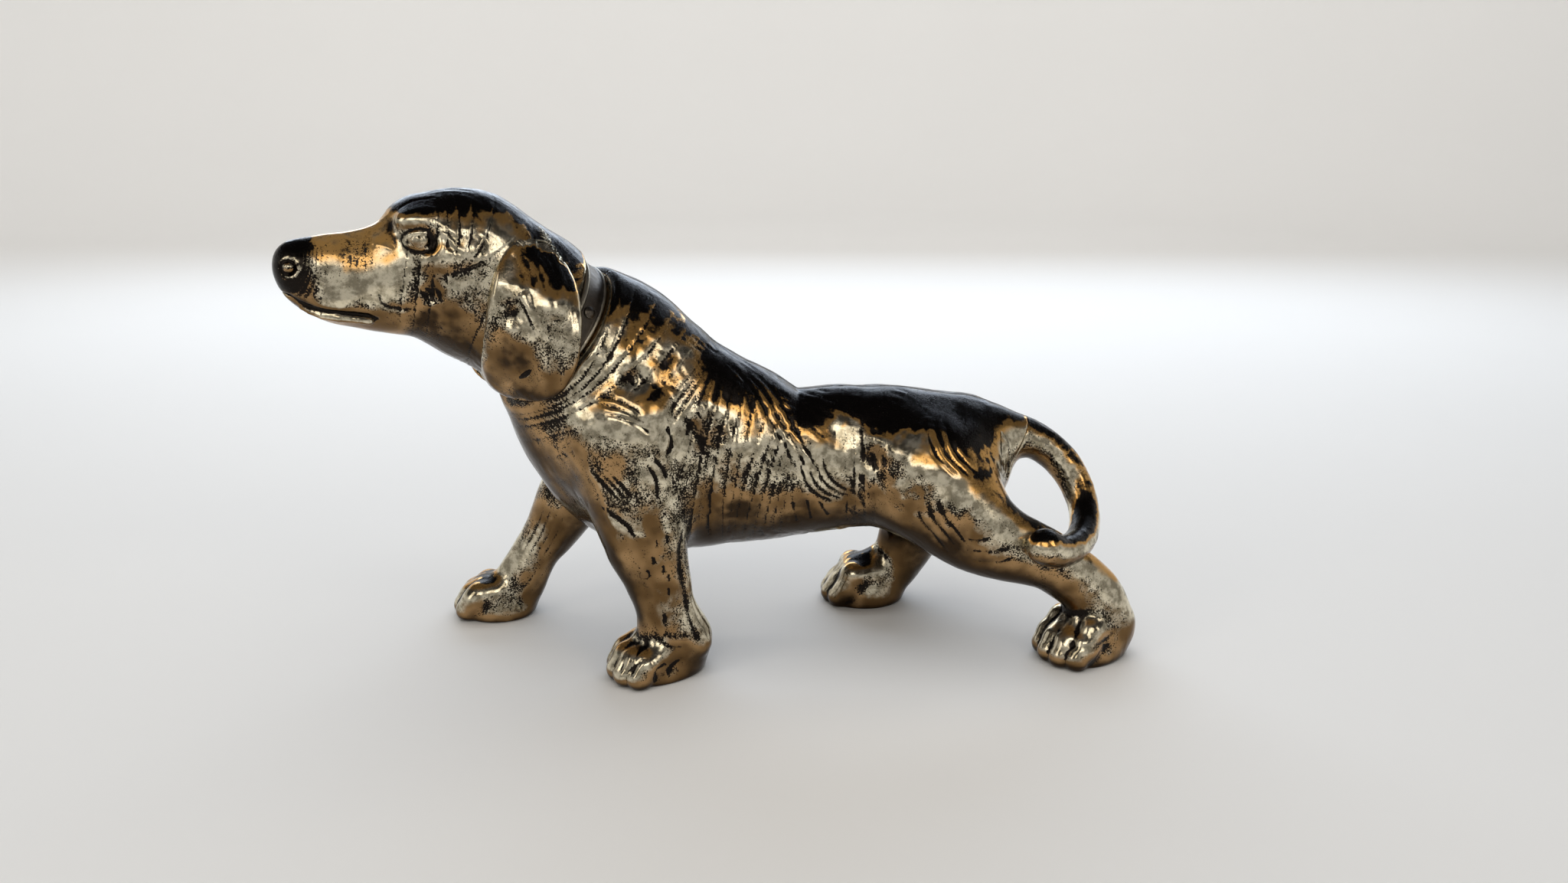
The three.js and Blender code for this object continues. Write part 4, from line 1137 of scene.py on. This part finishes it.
def cast_metal():
    n = Nodes("cast_metal")
    cavity, reflection_facing, painted_gold_muzzle = n.layer("cavity"), n.layer("reflection_facing"), n.layer("painted_gold_muzzle")
    mottle = n.noise(260, 4.0, 0.65)
    patches = n.noise(70, 2.0)
    specks = n.noise(1700, 2.0, 0.7)
    scratch = n.noise(700, 3.0, 0.6)
    # How much the surface faces up picks the painted reflection and shade bands below
    facing = n.sum((reflection_facing, 1.0), (mottle, 0.24), (-0.12, 1.0))
    reflected_brown = n.mix(n.ramp(patches, 0.35, 0.65), BROWN, LIGHT_BROWN)
    base = n.mix(n.ramp(facing, *BROWN_BAND), SHADED_UNDERSIDE_BROWN, reflected_brown)
    silver = n.mix(n.ramp(mottle, 0.38, 0.62), DULL_SILVER, SILVER)
    base = n.mix(n.ramp(facing, *SILVER_BAND), base, silver)
    golden = n.ramp(facing, *GOLD_BAND)
    base = n.mix(golden, base, GOLD)
    # Painted black reflection on surfaces that face up
    back = n.ramp(facing, *DARK_TOP_REFLECTION_BAND)
    edge = n.math("MULTIPLY", n.ramp(facing, *EDGE_START), n.ramp(facing, *EDGE_END))
    pitted = n.sum((edge, 0.17), (patches, 0.5), (cavity, 0.25), (back, 0.2), (-0.3, 1.0))
    pits = n.ramp(n.sum((specks, 1.0), (pitted, 1.0)), *PIT_BAND)
    # Black is patina in the hollows plus painted black reflection on top
    lean = n.sum((cavity, 0.8), (mottle, 0.6), (back, 1.0))
    black = n.math("MAXIMUM", n.ramp(lean, *BLACK_BAND), pits)
    n.set("Base Color", n.mix(black, base, BLACK_PATINA_AND_REFLECTION))
    # Less metallic on the muzzle, so that its painted gold reflection shows as diffuse colour
    diffuse_gold_reflection = n.math("MULTIPLY", golden, painted_gold_muzzle)
    n.set("Metallic", n.sum((golden, -0.08), (diffuse_gold_reflection, -0.22), (black, 0.05), (0.94, 1.0)))
    n.set("Roughness", n.sum((n.ramp(mottle, 0.3, 0.7, 0.12, 0.24), 1.0), (black, 0.06)))
    n.bump(n.sum((n.noise(420, 3.0), 0.35), (scratch, 0.1), (pits, -0.35)), 0.25, 0.0004)
    return n.material


def dark_metal(name, base, worn, rough):
    n = Nodes(name)
    cavity = n.layer("cavity")
    mottle = n.noise(500, 4.0, 0.65)
    edge = n.ramp(n.sum((cavity, -1.0), (mottle, 0.4)), 0.25, 0.7)
    n.set("Base Color", n.mix(edge, n.mix(mottle, tuple(0.4 * v for v in base), base), worn))
    n.set("Metallic", 0.95)
    n.set("Roughness", n.ramp(mottle, 0.3, 0.7, rough, rough + 0.2))
    n.bump(n.noise(1200, 2.0), 0.25, 0.0003)
    return n.material


def body_relief(points, normals, free):
    flow = Flow(body_form, BODY_ARROWS)
    furred = np.where((free > 0.9) & (evaluate(torso, points) < 4))[0]
    strewn = chased(body_form, flow, points[furred], normals[furred])
    furry = 0.25 + 0.75 * ramp(noise(points, 13, 6.1), -0.35, 0.35)
    amount = waves(points, BODY_WAVES) + swollen(body_form, points, BODY_SWELLS)
    amount += pressed(points, stroke_spots(body_form, BODY_STROKES))
    amount += pressed(points, stroke_spots(body_form, LEG_STROKES, both_sides=False))
    amount += pressed(points, strewn) * furry
    return amount + furry * hair(points, flow(points, normals), BODY_HAIR)


def body_pieces(material):
    """Both halves, from one mesh with the seam in the middle of a row of cells"""
    low, high = BODY_BOX
    steps = round(high[1] / BODY_CELL)
    low = (low[0], -(steps + 0.5) * BODY_CELL, low[2])
    points, normals, faces = surface(body_field, low, high, BODY_CELL)
    middle = np.abs(points[:, 1]) < 0.5 * BODY_CELL
    free = skin(evaluate(body_form, points))
    moved = apply(free, points, normals, body_relief(points, normals, free))
    way = np.sign(points[:, 1])
    moved[:, 1] = np.where(middle, 0, np.maximum(moved[:, 1] * way, 0.1) * way)
    normals = normals_of(moved, faces)
    layers = tones(body_form, free, moved, normals, Net(len(moved), faces), BODY_BROWN_REFLECTIONS, False)
    centre = points[faces, 1].mean(1)
    for name, side in (("body_left", -1), ("body_right", 1)):
        mine = faces[centre * side > 0]
        used = np.unique(mine)
        number = np.full(len(points), -1)
        number[used] = np.arange(len(used))
        place = moved[used].copy()
        place[middle[used], 1] = side * SEAM
        half = {key: values[used] for key, values in layers.items()}
        add_piece(name, name + "_half", material, place, number[mine], half)


def close_seam(thing):
    form = bmesh.new()
    form.from_mesh(thing.data)
    open_edges = [edge for edge in form.edges if edge.is_boundary]
    bmesh.ops.holes_fill(form, edges=open_edges, sides=0)
    form.to_mesh(thing.data)
    form.free()


def simple_piece(name, node, field, box, cell, material, form, detail, brown_reflections):
    points, normals, faces = surface(field, *box, cell)
    free = skin(evaluate(form, points))
    moved = apply(free, points, normals, detail(points, normals))
    normals = normals_of(moved, faces)
    layers = tones(head_form, free, moved, normals, Net(len(moved), faces), brown_reflections, True)
    add_piece(name, node, material, moved, faces, layers)


def head_detail(points, normals):
    """Relief of the head, smooth on the muzzle and left off round the eyes"""
    way = Flow(head_form, HEAD_ARROWS, True)(points, normals)
    f, _, _ = head_local(points.T)
    amount = swollen(head_form, points, HEAD_SWELLS, True)
    amount += pressed(points, stroke_spots(head_form, HEAD_STROKES, True))
    fur = hair(points, way, HEAD_HAIR) * (1 - 0.75 * ramp(f, 22, 40))
    ef, el, eu = EYE_SPOT
    eyes = [np.array(head_point(ef, side * el, eu)) for side in (1, -1)]
    away = np.minimum(*[((points - eye) ** 2).sum(1) for eye in eyes])
    return (amount + fur + waves(points, HEAD_WAVES)) * ramp(away, 30, 60)


EAR_FIELDS = {1: ear_field(1), -1: ear_field(-1)}


def ear_detail(points, normals):
    near_ear = EAR_FIELDS[1]
    way = Flow(near_ear, EAR_ARROWS, True)(points, normals)
    amount = swollen(near_ear, points, EAR_SWELLS, True)
    amount += pressed(points, stroke_spots(near_ear, EAR_STROKES, True))
    return amount + hair(points, way, EAR_HAIR) + waves(points, EAR_WAVES)


def tail_detail(points, normals):
    return waves(points, TAIL_WAVES)


def box_round(at, reach):
    return [v - reach for v in at], [v + reach for v in at]


def trim_piece(name, node, field, box, cell, material):
    points, normals, faces = surface(field, *box, cell)
    rise = hollow(points, normals, Net(len(points), faces), FINE)
    add_piece(name, node, material, points, faces, {"cavity": np.clip(rise * 9, -1, 1)})


# Floor in metres: flat out to a bend that turns up into a low wall, all of it round
FLOOR_FLAT = 1.5
FLOOR_BEND = 0.6
FLOOR_TOP = 0.95
FLOOR_SIDES = 96
FLOOR_COLOURS = ((0.80, 0.79, 0.77, 1), (0.83, 0.82, 0.80, 1))
WORLD_COLOUR = (0.035, 0.035, 0.04, 1)
# Lights in metres: name, place, size, power and colour; then whether the metal mirrors it, and its aim
DOG_MIDDLE = (0, 0, 0.09)
LIGHTS = [
    ("fill", (0, 0, 1.9), (2.6, 2.6), 26, (1, 0.99, 0.97), False),
    ("key", (-0.10, -0.78, 0.62), (0.6, 0.3), 1.35, (1, 0.94, 0.84)),
    ("wall", (0, 0.7, 1.5), (2.4, 0.5), 16, (1, 0.99, 0.97), False, (0, 2.1, 0.7)),
    ("left", (-0.75, -0.45, 0.55), (0.3, 0.5), 0.9, (1, 0.93, 0.82)),
    ("right", (0.62, -0.62, 0.6), (0.25, 0.4), 0.8, (1, 0.93, 0.84)),
    ("rim", (0.1, 0.85, 0.5), (1.5, 0.3), 5, (0.72, 0.84, 1)),
]


def add_floor_and_world():
    profile = [(r, 0.0) for r in (0.02, 0.4, 0.9, FLOOR_FLAT)]
    for a in np.linspace(0.1, pi / 2, 12):
        profile.append((FLOOR_FLAT + FLOOR_BEND * sin(a), FLOOR_BEND - FLOOR_BEND * cos(a)))
    profile.append((FLOOR_FLAT + FLOOR_BEND, FLOOR_TOP))
    turns = [2 * pi * i / FLOOR_SIDES for i in range(FLOOR_SIDES)]
    verts = [(r * cos(turn), r * sin(turn), z) for r, z in profile for turn in turns]
    faces = []
    for inner in range(0, (len(profile) - 1) * FLOOR_SIDES, FLOOR_SIDES):
        outer = inner + FLOOR_SIDES
        for i in range(FLOOR_SIDES):
            j = (i + 1) % FLOOR_SIDES
            faces.append((inner + i, outer + i, outer + j, inner + j))
    faces.append(list(range(FLOOR_SIDES)))
    n = Nodes("floor")
    n.set("Base Color", n.mix(n.noise(3.0), *FLOOR_COLOURS))
    n.set("Roughness", 0.75)
    add_object("floor", verts, faces, n.material)
    world = bpy.data.worlds.new("world")
    world.use_nodes = True
    world.node_tree.nodes["Background"].inputs[0].default_value = WORLD_COLOUR
    bpy.context.scene.world = world


def add_light(name, at, size, power, colour, in_metal=True, aim=DOG_MIDDLE):
    data = bpy.data.lights.new(name, "AREA")
    data.shape = "RECTANGLE"
    data.size, data.size_y = size
    data.energy = power
    data.color = colour
    light = bpy.data.objects.new(name, data)
    light.location = at
    light.rotation_euler = (Vector(aim) - Vector(at)).to_track_quat("-Z", "Y").to_euler()
    light.visible_camera = False
    light.visible_glossy = in_metal
    bpy.context.scene.collection.objects.link(light)


metal = cast_metal()
body_pieces(metal)
simple_piece("head_casting", "head", head_field, HEAD_BOX, HEAD_CELL, metal, head_shape, head_detail,
             HEAD_BROWN_REFLECTIONS)
for name, side in (("ear_left", 1), ("ear_right", -1)):
    ear = EAR_FIELDS[side]
    box = box_round(head_point(EAR_AT[0], side * EAR_HANG, EAR_AT[1]), EAR_REACH)
    simple_piece(name + "_flap", name, ear, box, SMALL_CELL, metal, ear, ear_detail, EAR_BROWN_REFLECTIONS)
simple_piece("tail_casting", "tail", tail_field, TAIL_BOX, SMALL_CELL, metal, tail_form, tail_detail,
             HEAD_BROWN_REFLECTIONS)

strap_metal = dark_metal("strap_metal", (0.12, 0.1, 0.08, 1), (0.42, 0.38, 0.3, 1), 0.28)
strap_box = box_round(COLLAR_AT, COLLAR_RADIUS + 4)
trim_piece("strap", "collar_strap", strap_field, strap_box, SMALL_CELL, strap_metal)
for i, angle in enumerate(STUD_ANGLES, 1):
    box = box_round(COLLAR_AT + stud_direction(angle) * COLLAR_RADIUS, 3)
    trim_piece(f"stud_{i}", f"collar_stud_{i}", stud_field(angle), box, STUD_CELL, strap_metal)
screw_metal = dark_metal("screw_metal", (0.3, 0.28, 0.24, 1), (0.5, 0.48, 0.42, 1), 0.3)
for name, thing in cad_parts.items():
    if name.startswith("body_screw"):
        thing.data.materials.clear()
        thing.data.materials.append(screw_metal)

add_floor_and_world()
for light in LIGHTS:
    add_light(*light)
bpy.context.scene.view_settings.view_transform = "Standard"
